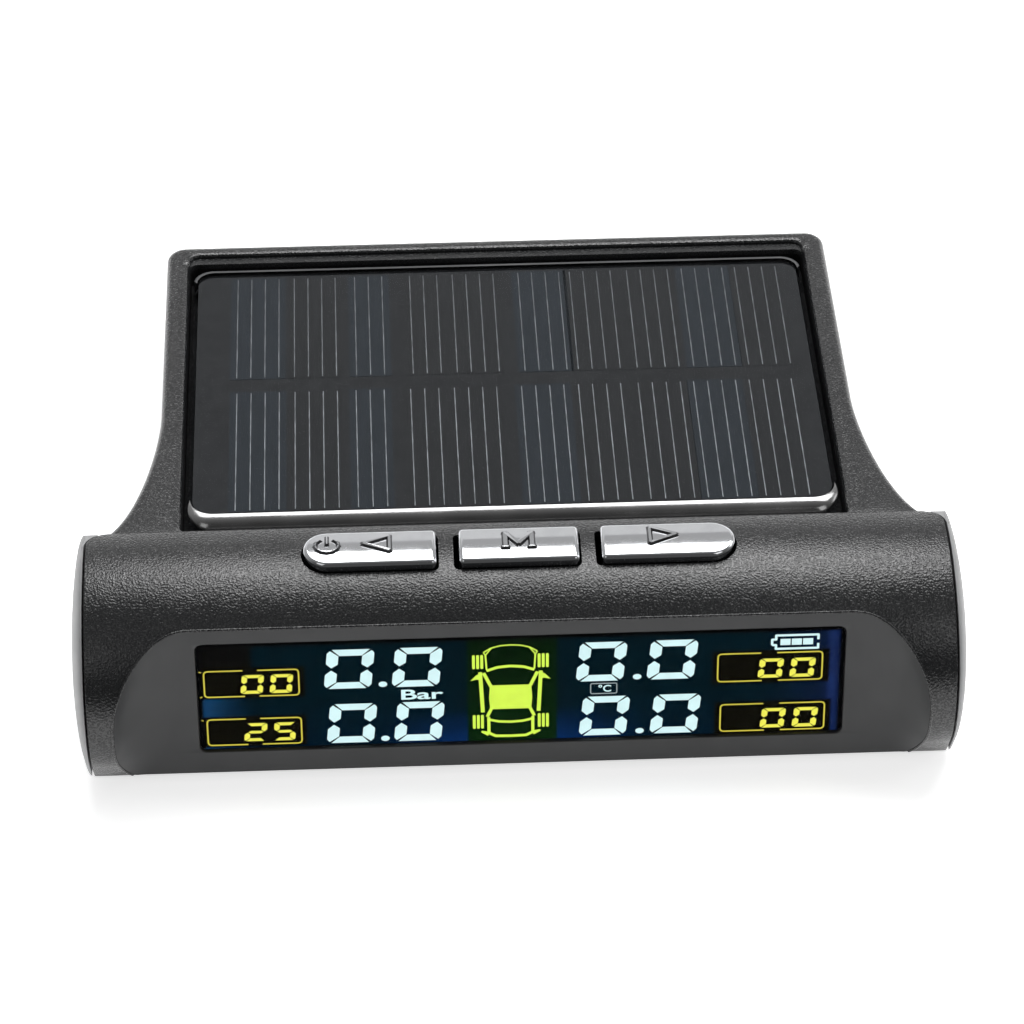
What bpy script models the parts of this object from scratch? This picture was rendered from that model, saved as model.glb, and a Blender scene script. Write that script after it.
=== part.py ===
"""Solar tyre-pressure monitor for a dashboard: a round display bar with a solar deck behind it.

Every dimension is in millimetres and mesh_object() turns it into metres. Stations y and heights z
are measured from the foot line of the display face, and FOOT moves them into the part's frame:
+Z up, -Y the display side, origin at the bottom centre of the bounding box.
"""

import math

import bmesh
import bpy
from mathutils import Vector

MM = 0.001

# Overall
BAR_LENGTH = 84.0
GAP = 0.3  # between neighbouring solids
PAD_THICKNESS = 1.2

# Display bar: a small chin arc that runs into a larger top arc
TOP_RADIUS = 14.1
TOP_CENTRE = (10.6, 3.8)
CHIN_RADIUS = 10.2
BLEND_ANGLE = math.radians(46.0)  # height on the top arc where the chin arc begins
ARC_STEP = math.radians(7.5)
BAR_BACK = 16.2

# Display face: a flat that leans back, with a hollowed run-out at each end
FACE_LEAN = math.radians(13.0)
FACE_TOP = 16.46
FACE_HALF_TOP = 32.3
FACE_HALF_WIDEST = 39.6
FACE_HALF_FOOT = 37.8
FACE_SHOULDER = 7.0  # height up the face where it is widest
FACE_FOOT_CORNER = 5.0
RUNOUT_RADIUS = 7.4
RUNOUT_STEPS = 5
BLEND_UP = 14.2  # height up the face where the bar in front of it changes arc
CUTTER_REACH = 4.0  # how far the face cutter runs on past the bar's surface
WINDOW_HALF = 31.45
WINDOW_FOOT = 2.05
WINDOW_TOP = 14.75

# Display stack, with depths behind the face
LENS_DEPTH = (0.1, 0.6)
FRONT_GLASS_DEPTH = (0.9, 1.5)
REAR_GLASS_DEPTH = (1.9, 2.45)
GUIDE_DEPTH = (2.75, 4.15)
FRAME_DEPTH = (4.45, 5.05)

# Solar deck, which slopes down to the rear from the crest of the bar
CREST_Y = 15.76
CREST_Z = 16.8
DECK_SLOPE = math.radians(7.53)
DECK_HALF = 35.0
DECK_RUN = 49.3  # along the slope, from the crest to the rear edge
DECK_CORNER = 2.0
FLARE_END = 18.0
FLARE_RUN = 18.6
FLARE_POWER = 1.5
POCKET_HALF = 33.0
POCKET_FRONT = 0.7
POCKET_REAR = 47.1
POCKET_DEPTH = 2.8
POCKET_FLOOR = 1.2

# Walls and covers
WALL = 1.6
COVER_THICKNESS = 1.6
COVER_TONGUE = 0.5
TONGUE_END = 10.5
CAVITY_REAR = 15.0
CAP_DOME = 0.7
CAP_EDGE = 0.3
CAP_SEAM = 0.2
CAP_PLUG = 1.5
PLUG_FOOT = 2.7
PAD_SIZE = (58.0, 40.0)
PAD_Y = 36.0

# Solar panel, with depths below the deck plane
PANEL_HALF = 31.7
PANEL_FRONT = 2.2
PANEL_REAR = 45.3
PANEL_TOP = 0.5
PANEL_FOOT = 2.5
PANEL_SKIN = 0.7
PANEL_SKIRT = 0.8
CELLS_TOP = 1.5
CELLS_FOOT = 1.8
BACKSHEET_TOP = 2.1
LEAD_HOLE = (-30.0, 28.0)
LEAD_HOLE_RADIUS = 1.8

# Buttons
BUTTON_FRONT = 9.4
BUTTON_REAR = 13.95
BUTTON_PROUD = 1.0
BUTTON_SLOT = 0.35
BUTTON_FLANGE = 0.6
FLANGE_FOOT = 14.6
BUTTONS = {
    "left": (-20.8, -7.95, "left"),
    "mode": (-5.7, 5.9, None),
    "right": (8.1, 21.1, "right"),
}

# Button board and its switches
SWITCH_Y = 12.2
BUTTON_BOARD_Z = 10.4
BOARD_THICKNESS = 1.0
BUTTON_BOARD_HALF = 27.0
BUTTON_BOARD_Y = (10.1, 14.6)
SWITCH_SIZE = 3.0
SWITCH_Z = (11.7, 13.2)
PLUNGER_Z = (12.6, 14.3)
PLUNGER_RADIUS = 0.8
POST_X = 24.4
POST_RADIUS = 2.0

# Main board, battery and bottom fixings
MAIN_BOARD_X = (-27.8, -3.0)
MAIN_BOARD_Y = (22.0, 61.0)
MAIN_BOARD_Z = 2.6
MAIN_SCREWS = {"front": (-6.0, 25.0), "rear": (-25.0, 57.0)}
BATTERY_X = (2.0, 31.0)
BATTERY_Y = (22.5, 52.0)
BATTERY_Z = (2.6, 6.8)
USB_X = -17.0
USB_HALF = 3.75
USB_Z = (3.9, 6.25)
USB_Y = (57.5, 63.9)
CASE_SCREWS = {
    "front_left": (-33.0, 19.0),
    "front_right": (33.0, 19.0),
    "rear_left": (-30.6, 60.0),
    "rear_right": (30.6, 60.0),
}
BOSS_RADIUS = 2.2
WIRE_RADIUS = 0.45
LEAD_SPREAD = 0.7  # half the distance between a pair's leads

# Parts on the main board: x, y and height above the board
SEAT = MAIN_BOARD_Z + BOARD_THICKNESS + GAP
CHIPS = {
    "rf_module": ((-26.4, -15.4), (26.0, 37.0), 1.8),
    "microcontroller": ((-12.5, -5.0), (31.0, 38.5), 1.2),
    "crystal": ((-11.0, -6.2), (40.2, 42.4), 1.1),
    "charge_controller": ((-19.0, -15.0), (49.0, 53.0), 1.0),
}
BUZZER_SPOT = (-8.6, 48.6)
BUZZER_RADIUS = 4.2
BUZZER_HEIGHT = 2.4
SENSOR_Y = 42.0
SENSOR_X = (-26.0, -17.5)
SENSOR_RADIUS = 1.4
COIL_X = (-20.0, -8.0)
COIL_Y = 20.6
COIL_RISE = 2.2
COIL_RADIUS = 1.6
COIL_WIRE_RADIUS = 0.25
COIL_TURNS = 7
COIL_SIDES = 10

# Screws: (radius, height) of the head, (radius, length) of the shank
BOARD_SCREW_HEAD = (1.5, 0.8)
BUTTON_SCREW_SHANK = (0.6, 4.4)
MAIN_SCREW_SHANK = (0.6, 2.6)
CASE_SCREW_HEAD = (1.75, 0.65)
CASE_SCREW_SHANK = (0.75, 4.4)
CASE_SCREW_FOOT = 0.05
SCREW_POINT = 0.5

# Derived
CHIN_OFFSET = TOP_RADIUS - CHIN_RADIUS
CHIN_CENTRE = (
    TOP_CENTRE[0] - CHIN_OFFSET * math.cos(BLEND_ANGLE),
    TOP_CENTRE[1] + CHIN_OFFSET * math.sin(BLEND_ANGLE),
)
FRONT_Y = CHIN_CENTRE[0] - CHIN_RADIUS
REAR_Y = CREST_Y + DECK_RUN * math.cos(DECK_SLOPE)
FOOT = (0.0, -(FRONT_Y + REAR_Y) / 2, PAD_THICKNESS + GAP)


def clear_scene():
    for old in list(bpy.data.objects):
        bpy.data.objects.remove(old, do_unlink=True)


def material(name, colour, roughness, metallic=0.0, alpha=1.0):
    made = bpy.data.materials.new(name)
    made.use_nodes = True
    shader = made.node_tree.nodes["Principled BSDF"]
    shader.inputs["Base Color"].default_value = (*colour, 1.0)
    shader.inputs["Roughness"].default_value = roughness
    shader.inputs["Metallic"].default_value = metallic
    shader.inputs["Alpha"].default_value = alpha
    made.diffuse_color = (*colour, alpha)
    return made


# Geometry helpers


def mesh_object(name, points, faces, made_of=None, origin=(0.0, 0.0, 0.0)):
    """One closed mesh, its object's origin at `origin`, both given in station coordinates."""
    base = Vector(FOOT) + Vector(origin)
    mesh = bpy.data.meshes.new(name)
    mesh.from_pydata([(Vector(p) - Vector(origin)) * MM for p in points], [], faces)
    work = bmesh.new()
    work.from_mesh(mesh)
    bmesh.ops.recalc_face_normals(work, faces=work.faces)
    work.to_mesh(mesh)
    work.free()
    made = bpy.data.objects.new(name, mesh)
    made.location = base * MM
    bpy.context.scene.collection.objects.link(made)
    if made_of:
        mesh.materials.append(made_of)
    return made


def prism(name, outline, low, high, made_of=None, origin=(0.0, 0.0, 0.0)):
    """Joins two matching loops of points, each made from the outline by a function."""
    count = len(outline)
    points = [low(*p) for p in outline] + [high(*p) for p in outline]
    faces = [tuple(range(count)), tuple(range(count, 2 * count))]
    for i in range(count):
        j = (i + 1) % count
        faces.append((i, j, count + j, count + i))
    return mesh_object(name, points, faces, made_of, origin)


def along_x(name, profile, x_low, x_high, made_of=None):
    """A prism along X from a side profile of (y, z) points."""
    return prism(
        name,
        profile,
        lambda y, z: (x_low, y, z),
        lambda y, z: (x_high, y, z),
        made_of,
    )


def upright(name, plan, z_low, z_high, made_of=None, origin=(0.0, 0.0, 0.0)):
    """A vertical prism from a plan of (x, y) points."""
    return prism(
        name,
        plan,
        lambda x, y: (x, y, z_low),
        lambda x, y: (x, y, z_high),
        made_of,
        origin,
    )


def box(name, x, y, z, made_of=None):
    plan = [(x[0], y[0]), (x[1], y[0]), (x[1], y[1]), (x[0], y[1])]
    return upright(name, plan, z[0], z[1], made_of)


def ring(centre, radius, sides):
    turn = 2 * math.pi / sides
    return [
        (centre[0] + radius * math.cos(i * turn), centre[1] + radius * math.sin(i * turn))
        for i in range(sides)
    ]


def post(name, centre, radius, z_low, z_high, made_of=None, sides=16):
    made = upright(name, ring(centre, radius, sides), z_low, z_high, made_of)
    smooth(made)
    return made


def rod_along_x(name, centre, radius, x_low, x_high, made_of=None, sides=16):
    made = along_x(name, ring(centre, radius, sides), x_low, x_high, made_of)
    smooth(made)
    return made


def rounded_plan(x, y, radius, steps=3):
    """A rectangle with rounded corners; radius holds one value or (front/rear by left/right) four."""
    radii = radius if isinstance(radius, tuple) else (radius,) * 4
    corners = [
        (x[1], y[1], -1, -1, 0.0),
        (x[0], y[1], 1, -1, 90.0),
        (x[0], y[0], 1, 1, 180.0),
        (x[1], y[0], -1, 1, 270.0),
    ]
    plan = []
    for (cx, cy, sx, sy, start), r in zip(corners, radii):
        for i in range(steps + 1):
            angle = math.radians(start + 90.0 * i / steps)
            plan.append((cx + sx * r + r * math.cos(angle), cy + sy * r + r * math.sin(angle)))
    return plan


def smooth(thing, angle=30.0):
    thing.data.shade_smooth()
    thing.data.set_sharp_from_angle(angle=math.radians(angle))


def boolean(target, other, operation):
    other.hide_render = True
    other.display_type = "WIRE"
    step = target.modifiers.new(other.name, "BOOLEAN")
    step.operation = operation
    step.object = other
    step.solver = "EXACT"


def cut(target, *cutters):
    for cutter in cutters:
        boolean(target, cutter, "DIFFERENCE")


def add(target, *others):
    for other in others:
        boolean(target, other, "UNION")


def keep_within(target, other):
    boolean(target, other, "INTERSECT")


def bevel(target, width, segments=2, angle=40.0):
    step = target.modifiers.new("edges", "BEVEL")
    step.width = width * MM
    step.segments = segments
    step.limit_method = "ANGLE"
    step.angle_limit = math.radians(angle)


# Frames of the two sloping faces


def on_face(x, up, depth):
    """A point given along the display face: across, up from the foot, and behind the face."""
    lean, rise = math.sin(FACE_LEAN), math.cos(FACE_LEAN)
    return (x, up * lean + depth * rise, up * rise - depth * lean)


def on_deck(x, run, depth):
    """A point given along the deck plane: across, back from the crest, and below the plane."""
    fall, level = math.sin(DECK_SLOPE), math.cos(DECK_SLOPE)
    return (
        x,
        CREST_Y + run * level - depth * fall,
        CREST_Z - run * fall - depth * level,
    )


def deck_height(y, depth=0.0):
    return CREST_Z - (y - CREST_Y) * math.tan(DECK_SLOPE) - depth / math.cos(DECK_SLOPE)


def face_box(name, x, up, depth, made_of=None):
    outline = [(x[0], up[0]), (x[1], up[0]), (x[1], up[1]), (x[0], up[1])]
    return prism(
        name,
        outline,
        lambda a, b: on_face(a, b, depth[0]),
        lambda a, b: on_face(a, b, depth[1]),
        made_of,
    )


def deck_box(name, x, run, depth, made_of=None, radius=0.0):
    if radius:
        outline = rounded_plan(x, run, radius)
    else:
        outline = [(x[0], run[0]), (x[1], run[0]), (x[1], run[1]), (x[0], run[1])]
    return prism(
        name,
        outline,
        lambda a, b: on_deck(a, b, depth[1]),
        lambda a, b: on_deck(a, b, depth[0]),
        made_of,
    )


# Outlines


def arc(centre, radius, start, end):
    """Points on a side arc, with angles up from the front (-Y) direction."""
    steps = max(1, round(abs(end - start) / ARC_STEP))
    angles = [start + (end - start) * i / steps for i in range(steps + 1)]
    return [(centre[0] - radius * math.cos(a), centre[1] + radius * math.sin(a)) for a in angles]


def bar_profile():
    """The bar's side profile: chin arc, top arc, upright back and level underside."""
    chin_start = -math.asin(CHIN_CENTRE[1] / CHIN_RADIUS)
    points = arc(CHIN_CENTRE, CHIN_RADIUS, chin_start, BLEND_ANGLE)
    crest = math.pi - math.acos((BAR_BACK - TOP_CENTRE[0]) / TOP_RADIUS)
    points += arc(TOP_CENTRE, TOP_RADIUS, BLEND_ANGLE, crest)[1:]
    points.append((BAR_BACK, 0.0))
    return points


def flare_half(run, inset=0.0):
    """Half width of the deck at a distance back from the crest."""
    if run >= FLARE_END:
        return DECK_HALF - inset
    share = min(1.0, (FLARE_END - run) / FLARE_RUN)
    spread = BAR_LENGTH / 2 - DECK_HALF
    return BAR_LENGTH / 2 - spread * math.sqrt(1 - share**FLARE_POWER) - inset


def deck_plan(inset=0.0, front=10.0):
    """The deck's plan, wide where it flares out to the ends of the bar."""
    rear_y = on_deck(0, DECK_RUN, 0)[1] - inset
    corner = DECK_CORNER - min(inset, DECK_CORNER - 0.6)
    half = DECK_HALF - inset
    side = [(BAR_LENGTH / 2 - inset, front)]
    runs = [FLARE_END - FLARE_RUN * math.sin(math.radians(a)) for a in (90, 76, 64, 52, 40, 28, 16)]
    for run in runs + [FLARE_END]:
        side.append((flare_half(run, inset), on_deck(0, run, 0)[1]))
    for i in range(4):
        angle = math.radians(30.0 * i)
        side.append(
            (half - corner + corner * math.cos(angle), rear_y - corner + corner * math.sin(angle))
        )
    return side + [(-x, y) for x, y in reversed(side)]


def inner_profile(inset, rear, foot):
    """The hollow behind the display face and under the top arc, as (y, z) points."""
    radius = TOP_RADIUS - inset
    lean, rise = math.sin(FACE_LEAN), math.cos(FACE_LEAN)
    along = TOP_CENTRE[0] * lean + TOP_CENTRE[1] * rise
    behind = TOP_CENTRE[0] * rise - TOP_CENTRE[1] * lean
    face_top = along + math.sqrt(radius**2 - (behind - inset) ** 2)
    _, y, z = on_face(0, face_top, inset)
    start = math.atan2(z - TOP_CENTRE[1], TOP_CENTRE[0] - y)
    end = math.pi - math.acos((rear - TOP_CENTRE[0]) / radius)
    return arc(TOP_CENTRE, radius, start, end), on_face(0, foot, inset)[1:]


def bar_stands_proud(up):
    """How far the bar would stand in front of the display face at a height up the face."""
    foot, rise = math.sin(FACE_LEAN), math.cos(FACE_LEAN)
    proud = 0.0
    for centre, radius in ((CHIN_CENTRE, CHIN_RADIUS), (TOP_CENTRE, TOP_RADIUS)):
        along = centre[0] * foot + centre[1] * rise
        behind = centre[0] * rise - centre[1] * foot
        span = radius**2 - (up - along) ** 2
        reach = math.sqrt(max(span, 0.0)) - behind
        if centre is CHIN_CENTRE or up > BLEND_UP:
            proud = reach
    return max(proud, 0.0)


def face_half(up):
    """Half width of the display face's outline at a height up the face."""
    if up >= FACE_SHOULDER:
        share = min(1.0, (up - FACE_SHOULDER) / (FACE_TOP - FACE_SHOULDER))
        return FACE_HALF_TOP + (FACE_HALF_WIDEST - FACE_HALF_TOP) * math.sqrt(1 - share**2)
    share = max(0.0, (FACE_FOOT_CORNER - max(up, 0.0)) / FACE_FOOT_CORNER)
    return FACE_HALF_FOOT + (FACE_HALF_WIDEST - FACE_HALF_FOOT) * math.sqrt(1 - share**2)


def runout(up):
    """The hollow at one end of the face, at a height up it, as (x, proud) points from the flat."""
    proud = bar_stands_proud(max(up, 0.0))
    edge = face_half(up)
    run = math.sqrt(2 * RUNOUT_RADIUS * proud - proud**2)
    points = []
    for i in range(RUNOUT_STEPS + 1):
        out = run * i / RUNOUT_STEPS
        points.append((edge - run + out, RUNOUT_RADIUS - math.sqrt(RUNOUT_RADIUS**2 - out**2)))
    points.append((edge + 1.0, proud + CUTTER_REACH))
    return points


def face_cutter():
    """What is scooped out of the bar in front of the display face."""
    heights = [-2.0, 0.0, 1.0, 2.5, 4.5, 7.0, 9.5, 11.5, 13.2, 14.6, 15.6, 16.2, FACE_TOP, 18.5]
    rows = []
    for up in heights:
        within = min(up, FACE_TOP)
        half = [(x, -proud) for x, proud in runout(within)]
        left = [(-x, depth) for x, depth in reversed(half)]
        rows.append([on_face(x, up, depth) for x, depth in half + left])
    width = len(rows[0])
    points = [p for row in rows for p in row]
    faces = [tuple(range(width)), tuple(range(len(points) - width, len(points)))]
    for r in range(len(rows) - 1):
        for c in range(width):
            d = (c + 1) % width
            faces.append((r * width + c, r * width + d, (r + 1) * width + d, (r + 1) * width + c))
    return mesh_object("face_cutter", points, faces)


# Materials

clear_scene()
HOUSING = material("charcoal_abs", (0.055, 0.057, 0.06), 0.5)
CAP = material("grey_gloss_abs", (0.35, 0.36, 0.37), 0.25)
COVER = material("black_abs", (0.02, 0.02, 0.022), 0.6)
SILICONE = material("black_silicone", (0.015, 0.015, 0.015), 0.75)
CLEAR = material("clear_acrylic", (0.9, 0.92, 0.93), 0.05, alpha=0.35)
GLASS = material("lcd_glass", (0.02, 0.04, 0.08), 0.08)
DIFFUSER = material("white_diffuser", (0.85, 0.88, 0.9), 0.4)
CELLS = material("silicon_cells", (0.03, 0.035, 0.045), 0.2)
BACKSHEET = material("black_backsheet", (0.02, 0.02, 0.02), 0.5)
CHROME = material("chrome_plating", (0.8, 0.81, 0.82), 0.08, 1.0)
BOARD = material("green_board", (0.02, 0.16, 0.06), 0.4)
BLACK_PLASTIC = material("black_moulding", (0.02, 0.02, 0.02), 0.45)
STEEL = material("zinc_steel", (0.6, 0.6, 0.58), 0.3, 1.0)
FOIL = material("battery_foil", (0.7, 0.7, 0.72), 0.35, 1.0)
TAPE = material("white_tape", (0.8, 0.8, 0.78), 0.7)
RED = material("red_wire", (0.5, 0.02, 0.02), 0.5)
BLACK = material("black_wire", (0.02, 0.02, 0.02), 0.5)
AMBER = material("amber_film", (0.45, 0.22, 0.04), 0.4)
BRASS = material("brass", (0.7, 0.5, 0.2), 0.3, 1.0)


# Housing


def screw_bosses():
    made = []
    for place, spot in CASE_SCREWS.items():
        foot = COVER_THICKNESS + GAP
        made.append(post(f"boss_{place}", spot, BOSS_RADIUS, foot, deck_height(spot[1], 1.0)))
    for side in (-1, 1):
        name = "left" if side < 0 else "right"
        foot = BUTTON_BOARD_Z + BOARD_THICKNESS + GAP
        made.append(post(f"board_post_{name}", (side * POST_X, SWITCH_Y), POST_RADIUS, foot, 17.0))
    return made


def pilot_holes():
    made = []
    for place, spot in CASE_SCREWS.items():
        made.append(post(f"pilot_{place}", spot, 1.1, 0.0, 6.0, sides=12))
    for side in (-1, 1):
        name = "left" if side < 0 else "right"
        made.append(post(f"board_pilot_{name}", (side * POST_X, SWITCH_Y), 0.9, 10.0, 14.9, sides=12))
    return made


def button_plan(x, end, grow=0.0):
    """A button's plan: one end rounded on the outer two, both ends square on the middle one."""
    y = (BUTTON_FRONT - grow, BUTTON_REAR + grow)
    x = (x[0] - grow, x[1] + grow)
    square = 0.5 + grow
    full = (y[1] - y[0]) / 2 - 0.02
    radii = {
        "left": (square, full, full, square),
        "right": (full, square, square, full),
        None: (square,) * 4,
    }[end]
    return rounded_plan(x, y, radii, steps=5)


def top_housing():
    half = BAR_LENGTH / 2
    body = along_x("top_housing", bar_profile(), -half, half, HOUSING)
    deck = prism(
        "deck_block",
        deck_plan(),
        lambda x, y: (x, y, 0.0),
        lambda x, y: (x, y, deck_height(y)),
    )
    add(body, deck)
    ceiling = POCKET_DEPTH + POCKET_FLOOR
    inner, foot = inner_profile(WALL, CAVITY_REAR, -1.5)
    inner += [(CAVITY_REAR, foot[1]), foot]
    bar_cavity = along_x("bar_cavity", inner, -half - 1.0, half + 1.0)
    deck_cavity = prism(
        "deck_cavity",
        deck_plan(WALL + 0.2, 14.0),
        lambda x, y: (x, y, -1.0),
        lambda x, y: (x, y, deck_height(y, ceiling)),
    )
    cut(body, bar_cavity, deck_cavity)
    add(body, *screw_bosses())
    pocket = deck_box(
        "pocket",
        (-POCKET_HALF, POCKET_HALF),
        (POCKET_FRONT, POCKET_REAR),
        (-4.0, POCKET_DEPTH),
        radius=1.0,
    )
    window = face_box(
        "window_opening",
        (-WINDOW_HALF, WINDOW_HALF),
        (WINDOW_FOOT, WINDOW_TOP),
        (-6.0, WALL + 1.0),
    )
    usb = box(
        "usb_opening",
        (USB_X - USB_HALF - 0.45, USB_X + USB_HALF + 0.45),
        (60.0, 70.0),
        (USB_Z[0] - 0.4, USB_Z[1] + 0.4),
    )
    lead_hole = post("lead_hole", LEAD_HOLE, LEAD_HOLE_RADIUS, 8.0, 18.0)
    cut(body, face_cutter(), pocket, window, usb, lead_hole, *pilot_holes())
    for name, (x0, x1, end) in BUTTONS.items():
        slot = upright(f"slot_{name}", button_plan((x0, x1), end, BUTTON_SLOT), 14.0, 20.0)
        cut(body, slot)
    smooth(body)
    return body


def bottom_cover():
    plan = deck_plan(WALL + 0.2 + GAP, 3.2)
    cover = upright("bottom_cover", plan, 0.0, COVER_THICKNESS, COVER)
    step = box("cover_step", (-60.0, 60.0), (0.0, TONGUE_END), (COVER_TONGUE, 5.0))
    cut(cover, step)
    for place, spot in MAIN_SCREWS.items():
        add(cover, post(f"standoff_{place}", spot, 2.0, 1.0, MAIN_BOARD_Z - GAP, sides=12))
    for place, spot in MAIN_SCREWS.items():
        cut(cover, post(f"standoff_pilot_{place}", spot, 0.9, 0.8, 5.0, sides=12))
    for place, spot in CASE_SCREWS.items():
        cut(cover, post(f"screw_hole_{place}", spot, 1.15, -1.0, 3.0, sides=12))
        cut(cover, post(f"counterbore_{place}", spot, 2.1, -1.0, 1.0, sides=16))
    return cover


def end_cap(name, side):
    """A shallow dome over the open end of the bar, with a plug that fits inside it."""
    start = BAR_LENGTH / 2 + CAP_SEAM
    outline = bar_profile()
    centre = (8.0, 8.5)
    rings = [(0.0, 1.0), (CAP_EDGE, 1.0), (CAP_EDGE + 0.55 * CAP_DOME, 0.8), (CAP_EDGE + CAP_DOME, 0.4)]
    points = []
    for rise, share in rings:
        for y, z in outline:
            spread = (centre[0] + (y - centre[0]) * share, centre[1] + (z - centre[1]) * share)
            points.append((side * (start + rise), *spread))
    count = len(outline)
    faces = [tuple(range(count)), tuple(range(len(points) - count, len(points)))]
    for r in range(len(rings) - 1):
        for i in range(count):
            j = (i + 1) % count
            faces.append((r * count + i, r * count + j, (r + 1) * count + j, (r + 1) * count + i))
    cap = mesh_object(name, points, faces, CAP)
    plug, foot = inner_profile(WALL + GAP, CAVITY_REAR - GAP, PLUG_FOOT)
    plug += [(CAVITY_REAR - GAP, foot[1]), foot]
    inner = BAR_LENGTH / 2 - CAP_PLUG
    add(cap, along_x(f"plug_{name}", plug, side * inner, side * (start + 0.2)))
    smooth(cap)
    return cap


def mounting_pad():
    half = PAD_SIZE[0] / 2
    y = (PAD_Y - PAD_SIZE[1] / 2, PAD_Y + PAD_SIZE[1] / 2)
    plan = rounded_plan((-half, half), y, 4.0, steps=4)
    return upright("mounting_pad", plan, -GAP - PAD_THICKNESS, -GAP, SILICONE)


def screw(name, spot, start, head, shank, down=False):
    """A pan-head screw: head (radius, height) from `start` up or down, then its shank."""
    way = -1 if down else 1
    rims = [
        (head[0] * 0.8, 0.0),
        (head[0], head[1] * 0.35),
        (head[0], head[1]),
        (shank[0], head[1]),
        (shank[0], head[1] + shank[1] - SCREW_POINT),
        (shank[0] * 0.35, head[1] + shank[1]),
    ]
    sides = 14
    points = []
    for radius, rise in rims:
        points += [(x, y, start + way * rise) for x, y in ring(spot, radius, sides)]
    faces = [tuple(range(sides)), tuple(range(len(points) - sides, len(points)))]
    for r in range(len(rims) - 1):
        for i in range(sides):
            j = (i + 1) % sides
            faces.append((r * sides + i, r * sides + j, (r + 1) * sides + j, (r + 1) * sides + i))
    made = mesh_object(name, points, faces, STEEL)
    smooth(made)
    return made


# Display


def display_parts():
    """The stack behind the window: lens, the two glasses, the light guide and its frame."""
    opening_x = (-WINDOW_HALF + GAP, WINDOW_HALF - GAP)
    opening_up = (WINDOW_FOOT + GAP, WINDOW_TOP - GAP)
    face_box("display_window", opening_x, opening_up, LENS_DEPTH, CLEAR)
    face_box("lcd_front_glass", opening_x, opening_up, FRONT_GLASS_DEPTH, GLASS)
    face_box("lcd_rear_glass", (-33.6, 33.6), (1.8, 15.0), REAR_GLASS_DEPTH, GLASS)
    face_box("light_guide", (-33.0, 33.0), (2.4, 14.6), GUIDE_DEPTH, DIFFUSER)
    frame = face_box("display_frame", (-34.8, 34.8), (2.6, 14.2), FRAME_DEPTH, TAPE)
    for side in (-1, 1):
        inner, outer = sorted((side * 33.9, side * 34.8))
        wall_depth = (REAR_GLASS_DEPTH[0] + GAP, FRAME_DEPTH[1] - 0.1)
        wall = face_box(f"frame_wall_{side + 1}", (inner, outer - 0.01), (2.7, 14.1), wall_depth)
        add(frame, wall)
    ribbon_path = [(7.0, 1.3), (9.2, 2.4), (13.0, 2.75), (21.7, 2.75)]
    sheet("display_ribbon", ribbon_path, (-22.0, -8.0), 0.3)


def sheet(name, path, x, thickness):
    """A flat ribbon that follows a side path of (y, z) points."""
    upper = [(y, z + thickness) for y, z in reversed(path)]
    return along_x(name, path + upper, x[0], x[1], AMBER)


# Solar panel


def solar_parts():
    cover = deck_box(
        "solar_cover",
        (-PANEL_HALF, PANEL_HALF),
        (PANEL_FRONT, PANEL_REAR),
        (PANEL_TOP, PANEL_FOOT),
        CLEAR,
        radius=1.2,
    )
    inner_x = (-PANEL_HALF + PANEL_SKIRT, PANEL_HALF - PANEL_SKIRT)
    inner_run = (PANEL_FRONT + PANEL_SKIRT + 0.7, PANEL_REAR - PANEL_SKIRT)
    tray = deck_box("panel_tray", inner_x, inner_run, (PANEL_TOP + PANEL_SKIN, PANEL_FOOT + 2.0))
    bevel_rim(cover, 0.9)
    cut(cover, tray)
    x = (inner_x[0] + GAP, inner_x[1] - GAP)
    run = (inner_run[0] + GAP, inner_run[1] - GAP)
    deck_box("solar_cells", x, run, (CELLS_TOP, CELLS_FOOT), CELLS)
    deck_box("solar_backsheet", x, run, (BACKSHEET_TOP, PANEL_FOOT), BACKSHEET)


def bevel_rim(thing, width):
    """Rounds the edges of a slab's upper face."""
    work = bmesh.new()
    work.from_mesh(thing.data)
    upper = max(work.faces, key=lambda f: f.calc_center_median().z + f.normal.z)
    edges = list(upper.edges)
    bmesh.ops.bevel(work, geom=edges, offset=width * MM, segments=3, profile=0.5, affect="EDGES")
    work.to_mesh(thing.data)
    work.free()


def tube(name, points, radius, resolution, made_of):
    """A round rod along a line of points."""
    curve = bpy.data.curves.new(name, "CURVE")
    curve.dimensions = "3D"
    curve.bevel_depth = radius * MM
    curve.bevel_resolution = resolution
    curve.use_fill_caps = True
    spline = curve.splines.new("POLY")
    spline.points.add(len(points) - 1)
    for i, point in enumerate(points):
        spline.points[i].co = (*(Vector(point) * MM), 1.0)
    made = bpy.data.objects.new(name, curve)
    made.location = Vector(FOOT) * MM
    bpy.context.scene.collection.objects.link(made)
    curve.materials.append(made_of)
    return made


def catmull(route, steps):
    """Points along a Catmull-Rom curve through the route."""
    knots = [Vector(p) for p in route]
    knots = [knots[0] * 2 - knots[1]] + knots + [knots[-1] * 2 - knots[-2]]
    points = []
    for a, b, c, d in zip(knots, knots[1:], knots[2:], knots[3:]):
        for i in range(steps):
            t = i / steps
            square = (2 * a - 5 * b + 4 * c - d) * t**2
            cube = (3 * b - a - 3 * c + d) * t**3
            points.append(0.5 * (2 * b + (c - a) * t + square + cube))
    points.append(knots[-2])
    return points


# Buttons and switches


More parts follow.
